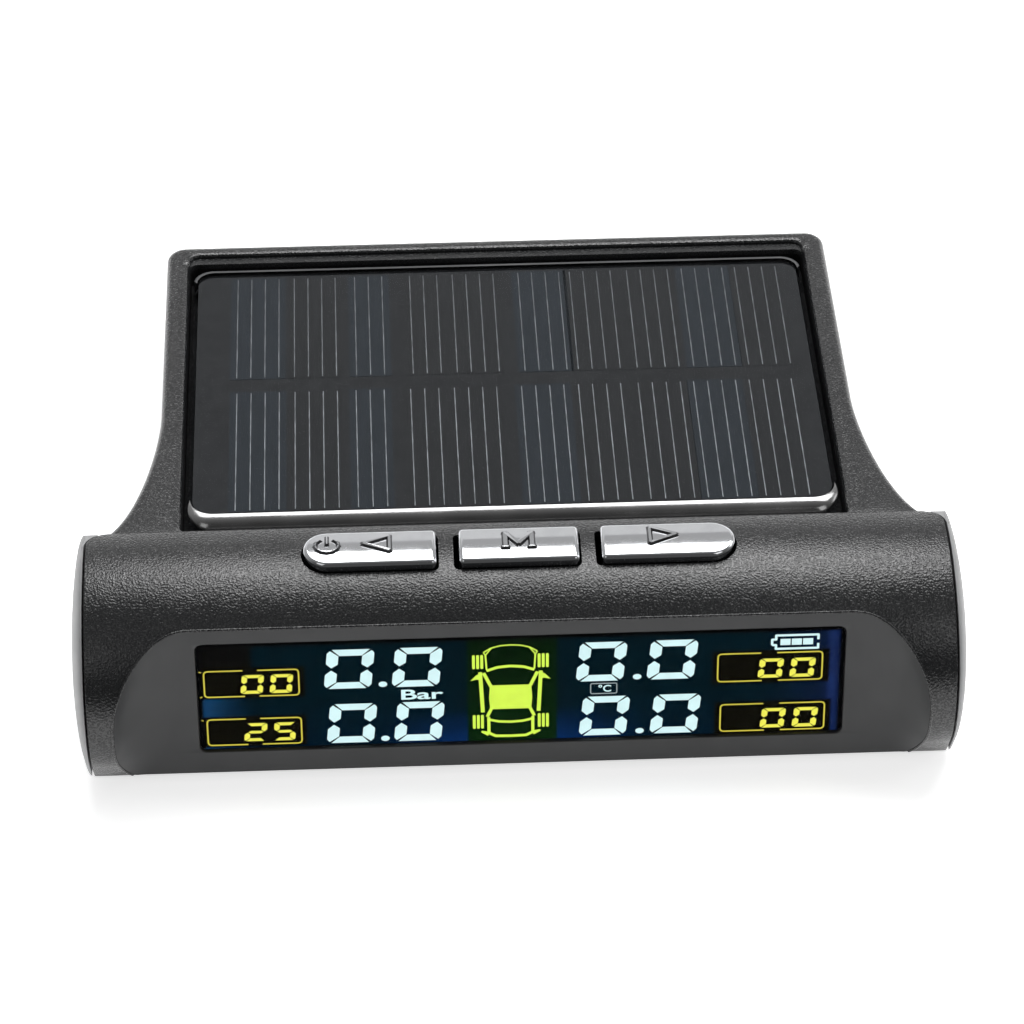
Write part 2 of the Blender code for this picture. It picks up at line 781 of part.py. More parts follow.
def buttons():
    for name, (x0, x1, end) in BUTTONS.items():
        centre = ((x0 + x1) / 2, SWITCH_Y, FLANGE_FOOT)
        cap = upright(
            f"button_{name}", button_plan((x0, x1), end), FLANGE_FOOT + 0.2, 20.0, CHROME, centre
        )
        shell = TOP_RADIUS + BUTTON_PROUD
        drum = along_x(f"drum_{name}", ring(TOP_CENTRE, shell, 72), x0 - 2, x1 + 2)
        keep_within(cap, drum)
        grow = BUTTON_SLOT + BUTTON_FLANGE
        flange = box(
            f"flange_{name}",
            (x0 - BUTTON_FLANGE, x1 + BUTTON_FLANGE),
            (BUTTON_FRONT - grow, BUTTON_REAR + BUTTON_FLANGE),
            (FLANGE_FOOT, 17.5),
        )
        inner_drum = along_x(
            f"flange_drum_{name}", ring(TOP_CENTRE, TOP_RADIUS - WALL - GAP, 60), x0 - 3, x1 + 3
        )
        keep_within(flange, inner_drum)
        add(cap, flange)
        smooth(cap)
        middle = (centre[0], SWITCH_Y)
        switch(name, middle)
        plunger = upright(
            f"switch_plunger_{name}",
            ring(middle, PLUNGER_RADIUS, 14),
            *PLUNGER_Z,
            BLACK_PLASTIC,
            centre,
        )
        smooth(plunger)
        plunger.parent = cap
        plunger.location = (0.0, 0.0, 0.0)


def switch(name, middle):
    half = SWITCH_SIZE / 2
    body = box(
        f"switch_body_{name}",
        (middle[0] - half, middle[0] + half),
        (middle[1] - half, middle[1] + half),
        SWITCH_Z,
        STEEL,
    )
    bore = post(f"switch_bore_{name}", middle, PLUNGER_RADIUS + GAP, SWITCH_Z[0] + 0.3, 15.0, sides=14)
    cut(body, bore)


# Boards and what they carry


def button_board():
    board = box(
        "button_board",
        (-BUTTON_BOARD_HALF, BUTTON_BOARD_HALF),
        BUTTON_BOARD_Y,
        (BUTTON_BOARD_Z, BUTTON_BOARD_Z + BOARD_THICKNESS),
        BOARD,
    )
    for side, name in ((-1, "left"), (1, "right")):
        spot = (side * POST_X, SWITCH_Y)
        cut(board, post(f"board_hole_{name}", spot, 0.9, 9.0, 13.0, sides=12))
        head_foot = BUTTON_BOARD_Z - GAP - BOARD_SCREW_HEAD[1]
        screw(f"button_board_screw_{name}", spot, head_foot, BOARD_SCREW_HEAD, BUTTON_SCREW_SHANK)


def main_board():
    top = MAIN_BOARD_Z + BOARD_THICKNESS
    board = box("main_board", MAIN_BOARD_X, MAIN_BOARD_Y, (MAIN_BOARD_Z, top), BOARD)
    for place, spot in MAIN_SCREWS.items():
        cut(board, post(f"main_hole_{place}", spot, 0.9, 1.0, 5.0, sides=12))
        head_top = SEAT + BOARD_SCREW_HEAD[1]
        screw(f"main_board_screw_{place}", spot, head_top, BOARD_SCREW_HEAD, MAIN_SCREW_SHANK, down=True)
    metal = ("rf_module", "crystal")
    for name, (x, y, height) in CHIPS.items():
        chip(name, x, y, (SEAT, SEAT + height), STEEL if name in metal else BLACK_PLASTIC)
    post("buzzer", BUZZER_SPOT, BUZZER_RADIUS, SEAT, SEAT + BUZZER_HEIGHT, BLACK_PLASTIC, sides=24)
    sensor_centre = (SENSOR_Y, SEAT + SENSOR_RADIUS + 0.1)
    rod_along_x("vibration_sensor", sensor_centre, SENSOR_RADIUS, *SENSOR_X, BRASS, sides=16)
    antenna(SEAT)
    usb_socket()


def chip(name, x, y, z, made_of):
    made = box(name, x, y, z, made_of)
    bevel(made, 0.2, 1)
    return made


def antenna(seat):
    """A helical spring antenna lying along X above the board's front edge."""
    count = COIL_TURNS * COIL_SIDES
    points = []
    for i in range(count + 1):
        angle = 2 * math.pi * i / COIL_SIDES
        x = COIL_X[0] + (COIL_X[1] - COIL_X[0]) * i / count
        y = COIL_Y + COIL_RADIUS * math.cos(angle)
        z = seat + COIL_RISE + COIL_RADIUS * math.sin(angle)
        points.append((x, y, z))
    tube("antenna_coil", points, COIL_WIRE_RADIUS, 0, BRASS)


def usb_socket():
    x = (USB_X - USB_HALF, USB_X + USB_HALF)
    shell = box("usb_socket_shell", x, USB_Y, USB_Z, STEEL)
    wall = 0.3
    mouth = box(
        "usb_mouth",
        (x[0] + wall, x[1] - wall),
        (USB_Y[0] + 0.6, USB_Y[1] + 2.0),
        (USB_Z[0] + wall, USB_Z[1] - wall),
    )
    cut(shell, mouth)
    box(
        "usb_socket_tongue",
        (USB_X - 2.2, USB_X + 2.2),
        (USB_Y[0] + 0.9, USB_Y[1] - 0.6),
        (USB_Z[0] + 0.9, USB_Z[0] + 1.5),
        BLACK_PLASTIC,
    )


def battery():
    cell = upright(
        "battery", rounded_plan(BATTERY_X, BATTERY_Y, 1.0, steps=2), *BATTERY_Z, FOIL
    )
    bevel(cell, 0.5, 2)
    x = (BATTERY_X[0] + 4.0, BATTERY_X[1] - 4.0)
    y = (BATTERY_Y[0] + 4.0, BATTERY_Y[1] - 4.0)
    box("battery_tape", x, y, (COVER_THICKNESS + GAP, BATTERY_Z[0] - GAP), TAPE)


def leads():
    """Solar leads through the pocket floor to the board, and battery leads round the cell."""
    hole_x, hole_y = LEAD_HOLE
    floor = deck_height(hole_y, POCKET_DEPTH)
    joint = SEAT + 0.1
    for name, shift, made_of in (("red", -LEAD_SPREAD, RED), ("black", LEAD_SPREAD, BLACK)):
        solar_route = [
            (hole_x + shift, hole_y, floor - 0.2),
            (hole_x + shift, hole_y, floor - 2.6),
            (hole_x + 3.0 + shift, hole_y - 1.5 + shift, floor - 4.4),
            (-14.6, 24.6 + shift, SEAT + 2.4),
            (-13.4, 24.6 + shift, joint),
        ]
        tube(f"solar_lead_{name}", catmull(solar_route, 4), WIRE_RADIUS, 1, made_of)
        start = BATTERY_Y[1] + GAP
        battery_route = [
            (9.0 + shift * 2.2, start, 4.4),
            (7.5 + shift * 2.4, start + 2.4, 4.5),
            (2.0 + shift * 0.6, start + 4.4 + shift * 1.6, 5.0),
            (-4.4, start + 4.2 + shift * 1.6, 5.3),
            (-5.2, start + 4.0 + shift * 1.6, joint),
        ]
        tube(f"battery_lead_{name}", catmull(battery_route, 4), WIRE_RADIUS, 1, made_of)


def case_screws():
    for place, spot in CASE_SCREWS.items():
        screw(f"case_screw_{place}", spot, CASE_SCREW_FOOT, CASE_SCREW_HEAD, CASE_SCREW_SHANK)


top_housing()
bottom_cover()
end_cap("end_cap_left", -1)
end_cap("end_cap_right", 1)
mounting_pad()
case_screws()
display_parts()
solar_parts()
buttons()
button_board()
main_board()
battery()
leads()
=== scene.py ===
"""Looks of a solar tyre-pressure monitor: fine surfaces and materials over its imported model.

Sizes are in millimetres. Stations y and heights z are measured from the foot line of the display
face, as the part's own design has them, and FOOT moves them into the frame's metres.
"""
import math

import bmesh
import bpy
from mathutils import Matrix, Vector


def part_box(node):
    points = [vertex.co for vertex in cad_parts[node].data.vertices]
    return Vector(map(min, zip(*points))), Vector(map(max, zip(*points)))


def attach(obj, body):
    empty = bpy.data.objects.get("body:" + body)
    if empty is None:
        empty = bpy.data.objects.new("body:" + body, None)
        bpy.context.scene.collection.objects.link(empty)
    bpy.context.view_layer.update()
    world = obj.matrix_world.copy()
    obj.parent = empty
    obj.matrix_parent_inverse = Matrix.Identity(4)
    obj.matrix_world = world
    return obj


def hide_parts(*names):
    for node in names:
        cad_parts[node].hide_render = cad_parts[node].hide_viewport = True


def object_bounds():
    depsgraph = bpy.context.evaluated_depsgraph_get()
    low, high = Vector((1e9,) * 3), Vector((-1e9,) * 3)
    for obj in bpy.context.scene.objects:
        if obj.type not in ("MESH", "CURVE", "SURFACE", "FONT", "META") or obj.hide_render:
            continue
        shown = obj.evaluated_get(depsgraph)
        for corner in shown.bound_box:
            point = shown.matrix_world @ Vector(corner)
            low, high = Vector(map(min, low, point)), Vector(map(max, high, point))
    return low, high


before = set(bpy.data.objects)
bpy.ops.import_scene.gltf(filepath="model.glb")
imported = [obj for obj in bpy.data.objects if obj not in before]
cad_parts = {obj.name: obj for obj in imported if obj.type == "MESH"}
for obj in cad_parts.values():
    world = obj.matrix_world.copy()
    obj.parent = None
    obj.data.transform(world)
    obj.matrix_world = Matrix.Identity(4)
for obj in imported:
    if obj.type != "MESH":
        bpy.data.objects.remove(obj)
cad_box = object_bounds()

MM = 0.001

# Display bar
BAR_HALF = 42.0
TOP_RADIUS = 14.1
TOP_CENTRE = (10.6, 3.8)
CHIN_RADIUS = 10.2
BLEND_ANGLE = math.radians(46.0)
CHIN_OFFSET = TOP_RADIUS - CHIN_RADIUS
CHIN_CENTRE = (
    TOP_CENTRE[0] - CHIN_OFFSET * math.cos(BLEND_ANGLE),
    TOP_CENTRE[1] + CHIN_OFFSET * math.sin(BLEND_ANGLE),
)
BAR_BACK = 16.2
BAR_END_RADIUS = 0.2
BAR_FOOT = -0.46
BAR_FOOT_Y = -0.14
CHIN_KNEE = 2.0
CHIN_STEPS = 36
TOP_STEPS = 34

# Display face and window
FACE_LEAN = math.radians(13.0)
FACE_TOP = 16.46
FACE_HALF_TOP = 32.3
FACE_HALF_WIDEST = 39.6
FACE_HALF_FOOT = 37.8
FACE_SHOULDER = 7.0
FACE_FOOT_CORNER = 5.0
FACE_ROWS = 40
RUNOUT_RADIUS = 7.4
RUNOUT_STEPS = 10
BLEND_UP = 14.2
CUTTER_REACH = 4.0
LEAST_PROUD = 0.01
LIP_RADIUS = 0.16
WINDOW_HALF = 31.45
WINDOW_FOOT = 2.05
WINDOW_TOP = 14.75
WINDOW_GAP = 0.06
WINDOW_CORNER = 0.75

# Deck and pocket
CREST_Y = 15.76
CREST_Z = 16.8
DECK_SLOPE = math.radians(7.53)
DECK_HALF = 35.2
DECK_RUN = 49.3
DECK_CORNER = 2.0
DECK_EDGE = 0.8
FLARE_END = 19.5
FLARE_RUN = 20.1
FLARE_POWER = 1.5
FLARE_STEPS = 26
POCKET_HALF = 32.7
POCKET_RUN = (0.7, 46.5)
POCKET_DEPTH = 2.8
POCKET_FLOOR = 1.2
# Depths below the deck and how far the pocket, then the ledge, has widened there
POCKET_RIM = ((1.1, 0.0), (0.62, 0.09), (0.28, 0.3), (0.08, 0.65), (0.0, 1.05), (-3.0, 1.4))
LEDGE_RIM = ((0.3, 0.0), (0.1, 0.1), (0.0, 0.3), (-3.0, 0.6))
LEDGE_RUN = 47.6
LEDGE_DEPTH = 0.5
WALL = 1.6
CAVITY_REAR = 15.0
CAVITY_FOOT = -1.5
BOSS_RADIUS = 2.2
CASE_CORNERS = ("front_left", "front_right", "rear_left", "rear_right")
BELOW, ABOVE = -1.0, 20.0  # heights clear of the case, for cutters that pass right through

# Solar panel
PANEL_HALF = 32.3
PANEL_RUN = (2.2, 45.9)
PANEL_TOP = 0.5
PANEL_FOOT = 2.5
PANEL_ROLL = 1.9
PANEL_EDGE = 0.35
PANEL_REAR = 1.0
PANEL_CORNER = (2.2, 2.2, 2.6, 2.6)
CELL_DEPTH = 0.82
TRAY_SIDE = 0.45
TRAY_FRONT = 1.95
TRAY_REAR = 0.55
TRAY_CORNER = (1.2, 1.2, 2.0, 2.0)
FINGER_PITCH = 1.445
FINGER_WIDTH = 0.1
STRIP_MARGIN = 0.72
CELL_ROWS = ((4.6, 23.8), (26.45, 43.85))
# Each strip's first finger in the near and the far row, its number of fingers, and whether it looks bluer
STRIPS = (
    ((-27.55, -27.6), 4, True),
    ((-21.6, -21.65), 4, False),
    ((-15.35, -15.25), 3, True),
    ((-9.75, -9.4), 3, False),
    ((-5.25, -4.85), 4, False),
    ((1.65, 2.15), 4, True),
    ((7.5, 7.65), 4, False),
    ((13.65, 13.75), 4, False),
    ((19.35, 19.6), 4, True),
    ((25.1, 25.3), 4, False),
)

# End caps
CAP_SEAM = 0.16
END_CORNER = 2.4
CAP_RISE = 1.45
CAP_CENTRE = (8.0, 8.5)
CAP_RINGS = 12

# Buttons
BUTTON_FRONT = 9.2
BUTTON_REAR = 13.95
BUTTON_PROUD = 1.0
BUTTON_SIDE_GAP = 0.26
BUTTON_END_GAP = 0.12
BUTTON_LEFT_SLOT = 0.3
BUTTON_SLOT_FOOT = 14.0
BUTTON_STEPS = 28
BUTTON_FOOT = 14.8
BUTTONS = {
    "left": (-20.8, -7.95, "left"),
    "mode": (-5.7, 5.9, None),
    "right": (8.1, 21.1, "right"),
}

# Where the stations' origin lies in the frame
REAR_Y = CREST_Y + DECK_RUN * math.cos(DECK_SLOPE)
HOUSING_LOW, HOUSING_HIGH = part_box("top_housing")
FOOT = Vector((0.0, HOUSING_HIGH.y / MM - REAR_Y, HOUSING_LOW.z / MM))


def station_box(node):
    """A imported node's bounds in station millimetres."""
    return [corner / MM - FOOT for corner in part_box(node)]


# Meshes


def place(name, data):
    """Puts a mesh, curve, light or camera in the scene."""
    made = bpy.data.objects.new(name, data)
    bpy.context.scene.collection.objects.link(made)
    return made


def face_out(mesh, weld=False):
    """Turns every face outwards, first joining points that lie together if asked."""
    work = bmesh.new()
    work.from_mesh(mesh)
    if weld:
        bmesh.ops.remove_doubles(work, verts=work.verts, dist=1e-7)
    bmesh.ops.recalc_face_normals(work, faces=work.faces)
    work.to_mesh(mesh)
    work.free()


def new_object(name, points, faces, material=None):
    """A mesh whose points are given in station millimetres."""
    mesh = bpy.data.meshes.new(name)
    mesh.from_pydata([(Vector(p) + FOOT) * MM for p in points], [], faces)
    face_out(mesh)
    if material:
        mesh.materials.append(material)
    return place(name, mesh)


def walls(count, rings):
    """Quads between rows of matching loops, each of count points."""
    faces = []
    for r in range(rings - 1):
        for i in range(count):
            j = (i + 1) % count
            faces.append((r * count + i, r * count + j, (r + 1) * count + j, (r + 1) * count + i))
    return faces


def skin(rings):
    """(points, faces) over a row of matching loops, closed at both ends."""
    count = len(rings[0])
    points = [p for ring in rings for p in ring]
    ends = [tuple(range(count)), tuple(range(len(points) - count, len(points)))]
    return points, ends + walls(count, len(rings))


def loft(name, rings, material=None):
    return new_object(name, *skin(rings), material)


def merge(name, meshes, material=None):
    """Several (points, faces) sets as one object."""
    points = []
    faces = []
    for some_points, some_faces in meshes:
        base = len(points)
        points += some_points
        faces += [tuple(base + i for i in face) for face in some_faces]
    return new_object(name, points, faces, material)


def slab(outline, low, high):
    """(points, faces) of a closed solid between two mappings of an outline."""
    return skin([[low(*p) for p in outline], [high(*p) for p in outline]])


def prism(name, plan, low, high, material):
    """An upright solid on a plan, between two heights or heights by y."""

    def lifted(height):
        return [(x, y, height(y) if callable(height) else height) for x, y in plan]

    return loft(name, [lifted(low), lifted(high)], material)


def rectangle(x, y):
    return [(x[0], y[0]), (x[1], y[0]), (x[1], y[1]), (x[0], y[1])]


def ring(centre, radius, sides):
    turn = 2 * math.pi / sides
    return [
        (centre[0] + radius * math.cos(i * turn), centre[1] + radius * math.sin(i * turn))
        for i in range(sides)
    ]


def rounded_plan(x, y, radius, steps=8):
    """A rectangle with rounded corners; radius is one value or four from the rear right round."""
    radii = radius if isinstance(radius, tuple) else (radius,) * 4
    corners = [
        (x[1], y[1], -1, -1, 0.0),
        (x[0], y[1], 1, -1, 90.0),
        (x[0], y[0], 1, 1, 180.0),
        (x[1], y[0], -1, 1, 270.0),
    ]
    plan = []
    for (cx, cy, sx, sy, start), r in zip(corners, radii):
        for i in range(steps + 1):
            angle = math.radians(start + 90.0 * i / steps)
            plan.append((cx + sx * r + r * math.cos(angle), cy + sy * r + r * math.sin(angle)))
    return plan


def bake(thing, *steps):
    """Applies modifiers set up as (type, settings) to an object's mesh."""
    for kind, settings in steps:
        modifier = thing.modifiers.new(kind, kind)
        for key, value in settings.items():
            setattr(modifier, key, value)
    graph = bpy.context.evaluated_depsgraph_get()
    baked = bpy.data.meshes.new_from_object(thing.evaluated_get(graph))
    thing.modifiers.clear()
    old = thing.data
    thing.data = baked
    bpy.data.meshes.remove(old)
    return thing


def combine(thing, operation, *others):
    """Joins, or cuts away, other objects, which are used up. A cut face keeps the cutter's material."""
    settings = [
        ("BOOLEAN", {"object": o, "operation": operation, "solver": "MANIFOLD", "material_mode": "TRANSFER"})
        for o in others
    ]
    bake(thing, *settings)
    for other in others:
        mesh = other.data
        bpy.data.objects.remove(other)
        bpy.data.meshes.remove(mesh)
    return thing


def smooth(thing, angle=28.0):
    thing.data.shade_smooth()
    thing.data.set_sharp_from_angle(angle=math.radians(angle))
    return thing


def show(thing, body, slot, *nodes):
    """Finishes a piece: what it moves with, and the nodes it stands for; its finish slot is not used."""
    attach(thing, body)
    if nodes:
        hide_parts(*nodes)
    return thing


# Frames of the sloping faces


def on_face(x, up, depth):
    """Across the display face, up it from its foot, and behind it."""
    lean, rise = math.sin(FACE_LEAN), math.cos(FACE_LEAN)
    return (x, up * lean + depth * rise, up * rise - depth * lean)


def on_deck(x, run, depth):
    """Across the deck, back from the crest along it, and below its plane."""
    fall, level = math.sin(DECK_SLOPE), math.cos(DECK_SLOPE)
    return (x, CREST_Y + run * level - depth * fall, CREST_Z - run * fall - depth * level)


def deck_height(y, depth=0.0):
    return CREST_Z - (y - CREST_Y) * math.tan(DECK_SLOPE) - depth / math.cos(DECK_SLOPE)


def face_slab(outline, depth):
    return slab(outline, lambda a, b: on_face(a, b, depth[0]), lambda a, b: on_face(a, b, depth[1]))


def deck_slab(outline, depth):
    return slab(outline, lambda a, b: on_deck(a, b, depth[1]), lambda a, b: on_deck(a, b, depth[0]))


# Outlines


def arc(centre, radius, start, end, steps):
    """Points on a side arc, with angles up from the display side."""
    angles = [start + (end - start) * i / steps for i in range(steps + 1)]
    return [(centre[0] - radius * math.cos(a), centre[1] + radius * math.sin(a)) for a in angles]


def bar_profile(inset=0.0):
    chin = CHIN_RADIUS - inset
    top = TOP_RADIUS - inset
    chin_start = -math.asin((CHIN_CENTRE[1] - CHIN_KNEE) / chin)
    points = [(BAR_FOOT_Y + inset, BAR_FOOT + inset)]
    points += arc(CHIN_CENTRE, chin, chin_start, BLEND_ANGLE, CHIN_STEPS)
    crest = math.pi - math.acos((BAR_BACK - inset - TOP_CENTRE[0]) / top)
    points += arc(TOP_CENTRE, top, BLEND_ANGLE, crest, TOP_STEPS)[1:]
    points.append((BAR_BACK - inset, BAR_FOOT + inset))
    return points


def flare_half(run):
    if run >= FLARE_END:
        return DECK_HALF
    share = min(1.0, (FLARE_END - run) / FLARE_RUN)
    return BAR_HALF - (BAR_HALF - DECK_HALF) * math.sqrt(1 - share**FLARE_POWER)


def deck_plan(inset=0.0, front=10.0):
    """Half the deck's outline from the bar back, then its mirror image."""
    rear_y = on_deck(0, DECK_RUN, 0)[1] - inset
    corner = max(DECK_CORNER - inset, 0.6)
    half = DECK_HALF - inset
    widest = BAR_HALF - BAR_END_RADIUS - 0.02
    side = [(widest - inset, front)]
    for i in range(FLARE_STEPS + 1):
        run = FLARE_END - FLARE_RUN * math.cos(math.radians(90.0 * i / FLARE_STEPS))
        side.append((min(flare_half(run), widest) - inset, on_deck(0, run, 0)[1]))
    for i in range(7):
        angle = math.radians(15.0 * i)
        x = half - corner + corner * math.cos(angle)
        side.append((x, rear_y - corner + corner * math.sin(angle)))
    return side + [(-x, y) for x, y in reversed(side)]


def inner_profile(inset, rear, foot):
    """The hollow behind the display face and under the bar's top arc."""
    radius = TOP_RADIUS - inset
    lean, rise = math.sin(FACE_LEAN), math.cos(FACE_LEAN)
    along = TOP_CENTRE[0] * lean + TOP_CENTRE[1] * rise
    behind = TOP_CENTRE[0] * rise - TOP_CENTRE[1] * lean
    face_top = along + math.sqrt(radius**2 - (behind - inset) ** 2)
    _, y, z = on_face(0, face_top, inset)
    start = math.atan2(z - TOP_CENTRE[1], TOP_CENTRE[0] - y)
    end = math.pi - math.acos((rear - TOP_CENTRE[0]) / radius)
    foot_y, foot_z = on_face(0, foot, inset)[1:]
    return arc(TOP_CENTRE, radius, start, end, 20) + [(rear, foot_z), (foot_y, foot_z)]


def bar_stands_proud(up):
    """How far the bar would stand in front of the display face at a height up the face."""
    lean, rise = math.sin(FACE_LEAN), math.cos(FACE_LEAN)
    proud = 0.0
    for centre, radius in ((CHIN_CENTRE, CHIN_RADIUS), (TOP_CENTRE, TOP_RADIUS)):
        along = centre[0] * lean + centre[1] * rise
        behind = centre[0] * rise - centre[1] * lean
        reach = math.sqrt(max(radius**2 - (up - along) ** 2, 0.0)) - behind
        if centre is CHIN_CENTRE or up > BLEND_UP:
            proud = reach
    knee_y = CHIN_CENTRE[0] - math.sqrt(CHIN_RADIUS**2 - (CHIN_CENTRE[1] - CHIN_KNEE) ** 2)
    chin = ((BAR_FOOT_Y, BAR_FOOT), (knee_y, CHIN_KNEE))
    (low_up, low_proud), (knee_up, knee_proud) = [(y * lean + z * rise, z * lean - y * rise) for y, z in chin]
    if up < knee_up:
        proud = low_proud + (knee_proud - low_proud) * (up - low_up) / (knee_up - low_up)
    return max(proud, 0.0)


def face_half(up):
    """Half width of the display face's outline at a height up the face."""
    if up >= FACE_SHOULDER:
        share = min(1.0, (up - FACE_SHOULDER) / (FACE_TOP - FACE_SHOULDER))
        return FACE_HALF_TOP + (FACE_HALF_WIDEST - FACE_HALF_TOP) * math.sqrt(1 - share**2)
    share = max(0.0, (FACE_FOOT_CORNER - max(up, BAR_FOOT)) / (FACE_FOOT_CORNER - BAR_FOOT))
    return FACE_HALF_FOOT + (FACE_HALF_WIDEST - FACE_HALF_FOOT) * math.sqrt(1 - share**2)


def runout(up):
    """The hollow at one end of the face, as (x, proud) points from the flat outwards."""
    proud = max(bar_stands_proud(max(up, BAR_FOOT)), LEAST_PROUD)
    edge = face_half(up)
    run = math.sqrt(2 * RUNOUT_RADIUS * proud - proud**2)
    points = []
    for i in range(RUNOUT_STEPS + 1):
        out = run * i / RUNOUT_STEPS
        points.append((edge - run + out, RUNOUT_RADIUS - math.sqrt(RUNOUT_RADIUS**2 - out**2)))
    points.append((edge + 1.0, proud + CUTTER_REACH))
    return points


# Materials


def grey(level):
    return (level, level, level)


def shader(name, **settings):
    """A new Principled material; settings are its sockets, with _ for a space."""
    made = bpy.data.materials.new(name)
    made.use_nodes = True
    principled = made.node_tree.nodes["Principled BSDF"]
    for key, value in settings.items():
        socket = principled.inputs[key.replace("_", " ")]
        if isinstance(value, tuple) and len(value) == 3:
            value = (*value, 1.0)
        socket.default_value = value
    return made, principled


def add_node(material, kind, **settings):
    node = material.node_tree.nodes.new(kind)
    for key, value in settings.items():
        if key in node.inputs:
            node.inputs[key].default_value = value
        else:
            setattr(node, key, value)
    return node


def link(material, start, end):
    material.node_tree.links.new(start, end)


def feed(material, principled, **sources):
    """Links node outputs to a shader's sockets, named with _ for a space."""
    for key, source in sources.items():
        link(material, source, principled.inputs[key.replace("_", " ")])


def coordinates(material):
    """Where a point lies on its own piece, in metres."""
    return add_node(material, "ShaderNodeTexCoord").outputs["Object"]


def noise(material, size, detail=3.0, stretch=None):
    """Noise with features of a size in millimetres."""
    texture = add_node(material, "ShaderNodeTexNoise", Scale=1.0 / (size * MM), Detail=detail)
    source = coordinates(material)
    if stretch:
        mapping = add_node(material, "ShaderNodeMapping", Scale=stretch)
        link(material, source, mapping.inputs["Vector"])
        source = mapping.outputs["Vector"]
    link(material, source, texture.inputs["Vector"])
    return texture.outputs["Fac"]


def between(material, factor, low, high, start=0.3, end=0.7):
    """Maps a 0-1 factor on to a range of values."""
    node = add_node(material, "ShaderNodeMapRange")
    for key, value in (("From Min", start), ("From Max", end), ("To Min", low), ("To Max", high)):
        node.inputs[key].default_value = value
    link(material, factor, node.inputs["Value"])
    return node.outputs["Result"]


def tint(material, factor, first, second, start=0.35, end=0.65):
    """A colour between two by a 0-1 factor."""
    ramp = add_node(material, "ShaderNodeValToRGB")
    ramp.color_ramp.elements[0].position = start
    ramp.color_ramp.elements[1].position = end
    ramp.color_ramp.elements[0].color = (*first, 1.0)
    ramp.color_ramp.elements[1].color = (*second, 1.0)
    link(material, factor, ramp.inputs["Fac"])
    return ramp.outputs["Color"]


def bump(material, principled, *layers, round_edges=0.0):
    """Bumps of (height factor, depth in millimetres), on edges rounded in the shading if given a radius."""
    normal = None
    if round_edges:
        edge = add_node(material, "ShaderNodeBevel", Radius=round_edges * MM)
        edge.samples = 6
        normal = edge.outputs["Normal"]
    for height, depth in layers:
        node = add_node(material, "ShaderNodeBump", Strength=1.0, Distance=depth * MM)
        link(material, height, node.inputs["Height"])
        if normal:
            link(material, normal, node.inputs["Normal"])
        normal = node.outputs["Normal"]
    link(material, normal, principled.inputs["Normal"])


def plastic(name, colour, lighter, roughness, grain=0.3, depth=0.01, spread=0.06, edges=0.12, glint=None):
    """Moulded plastic: fine spark grain, slow changes of tone and gloss, and softened edges.

    Glint, if given, is the range of shine from the valleys of the grain to its peaks.
    """
    made, principled = shader(name)
    fine = noise(made, grain, 1.5)
    if glint:
        feed(made, principled, Specular_IOR_Level=between(made, fine, *glint, 0.45, 0.58))
    slow = tint(made, noise(made, 9.0, 3.0), colour, lighter)
    handled = noise(made, 3.0, 5.0)
    rough = between(made, handled, roughness - spread, roughness + spread)
    feed(made, principled, Base_Color=slow, Roughness=rough)
    bump(made, principled, (fine, depth), (handled, depth * 0.4), round_edges=edges)
    return made


def metal(name, colour, darker, roughness, grain=0.15, depth=0.002, stretch=None, edges=0.06):
    """Bare or plated metal with faint working marks and smudges."""
    made, principled = shader(name, Metallic=1.0)
    smudge = noise(made, 2.5, 4.0)
    marks = noise(made, grain, 3.0, stretch)
    rough = between(made, smudge, roughness * 0.7, roughness * 1.4)
    feed(made, principled, Base_Color=tint(made, smudge, colour, darker), Roughness=rough)
    bump(made, principled, (marks, depth), round_edges=edges)
    return made


def clear(name, gloss, least, roughness, tone, power=5.0):
    """A clear sheet: see-through, with a reflection that grows from least towards grazing angles."""
    made, principled = shader(name, Roughness=roughness)
    tree = made.node_tree
    tree.nodes.remove(principled)
    through = add_node(made, "ShaderNodeBsdfTransparent", Color=(*tone, 1.0))
    mirror = add_node(made, "ShaderNodeBsdfAnisotropic", Color=(*grey(gloss), 1.0))
    mix = add_node(made, "ShaderNodeMixShader")
    facing = add_node(made, "ShaderNodeLayerWeight", Blend=0.5)
    steep = add_node(made, "ShaderNodeMath", operation="POWER")
    steep.inputs[1].default_value = power
    link(made, facing.outputs["Facing"], steep.inputs[0])
    share = between(made, steep.outputs["Value"], least, 1.0, 0.0, 1.0)
    wear = between(made, noise(made, 4.0, 4.0), roughness * 0.8, roughness * 1.3)
    link(made, wear, mirror.inputs["Roughness"])
    soft = add_node(made, "ShaderNodeBump", Strength=0.5, Distance=0.004 * MM)
    link(made, noise(made, 12.0, 1.0), soft.inputs["Height"])
    link(made, soft.outputs["Normal"], mirror.inputs["Normal"])
    link(made, share, mix.inputs["Fac"])
    link(made, through.outputs["BSDF"], mix.inputs[1])
    link(made, mirror.outputs["BSDF"], mix.inputs[2])
    link(made, mix.outputs["Shader"], tree.nodes["Material Output"].inputs["Surface"])
    return made


def glow(name, colour, strength):
    """A lit display segment, a little uneven as a backlight is."""
    made, principled = shader(
        name, Base_Color=grey(0.01), Roughness=0.5, Specular_IOR_Level=0.1, Emission_Strength=strength
    )
    dim = tuple(c * 0.94 for c in colour)
    feed(made, principled, Emission_Color=tint(made, noise(made, 1.2, 2.0), dim, colour))
    return made


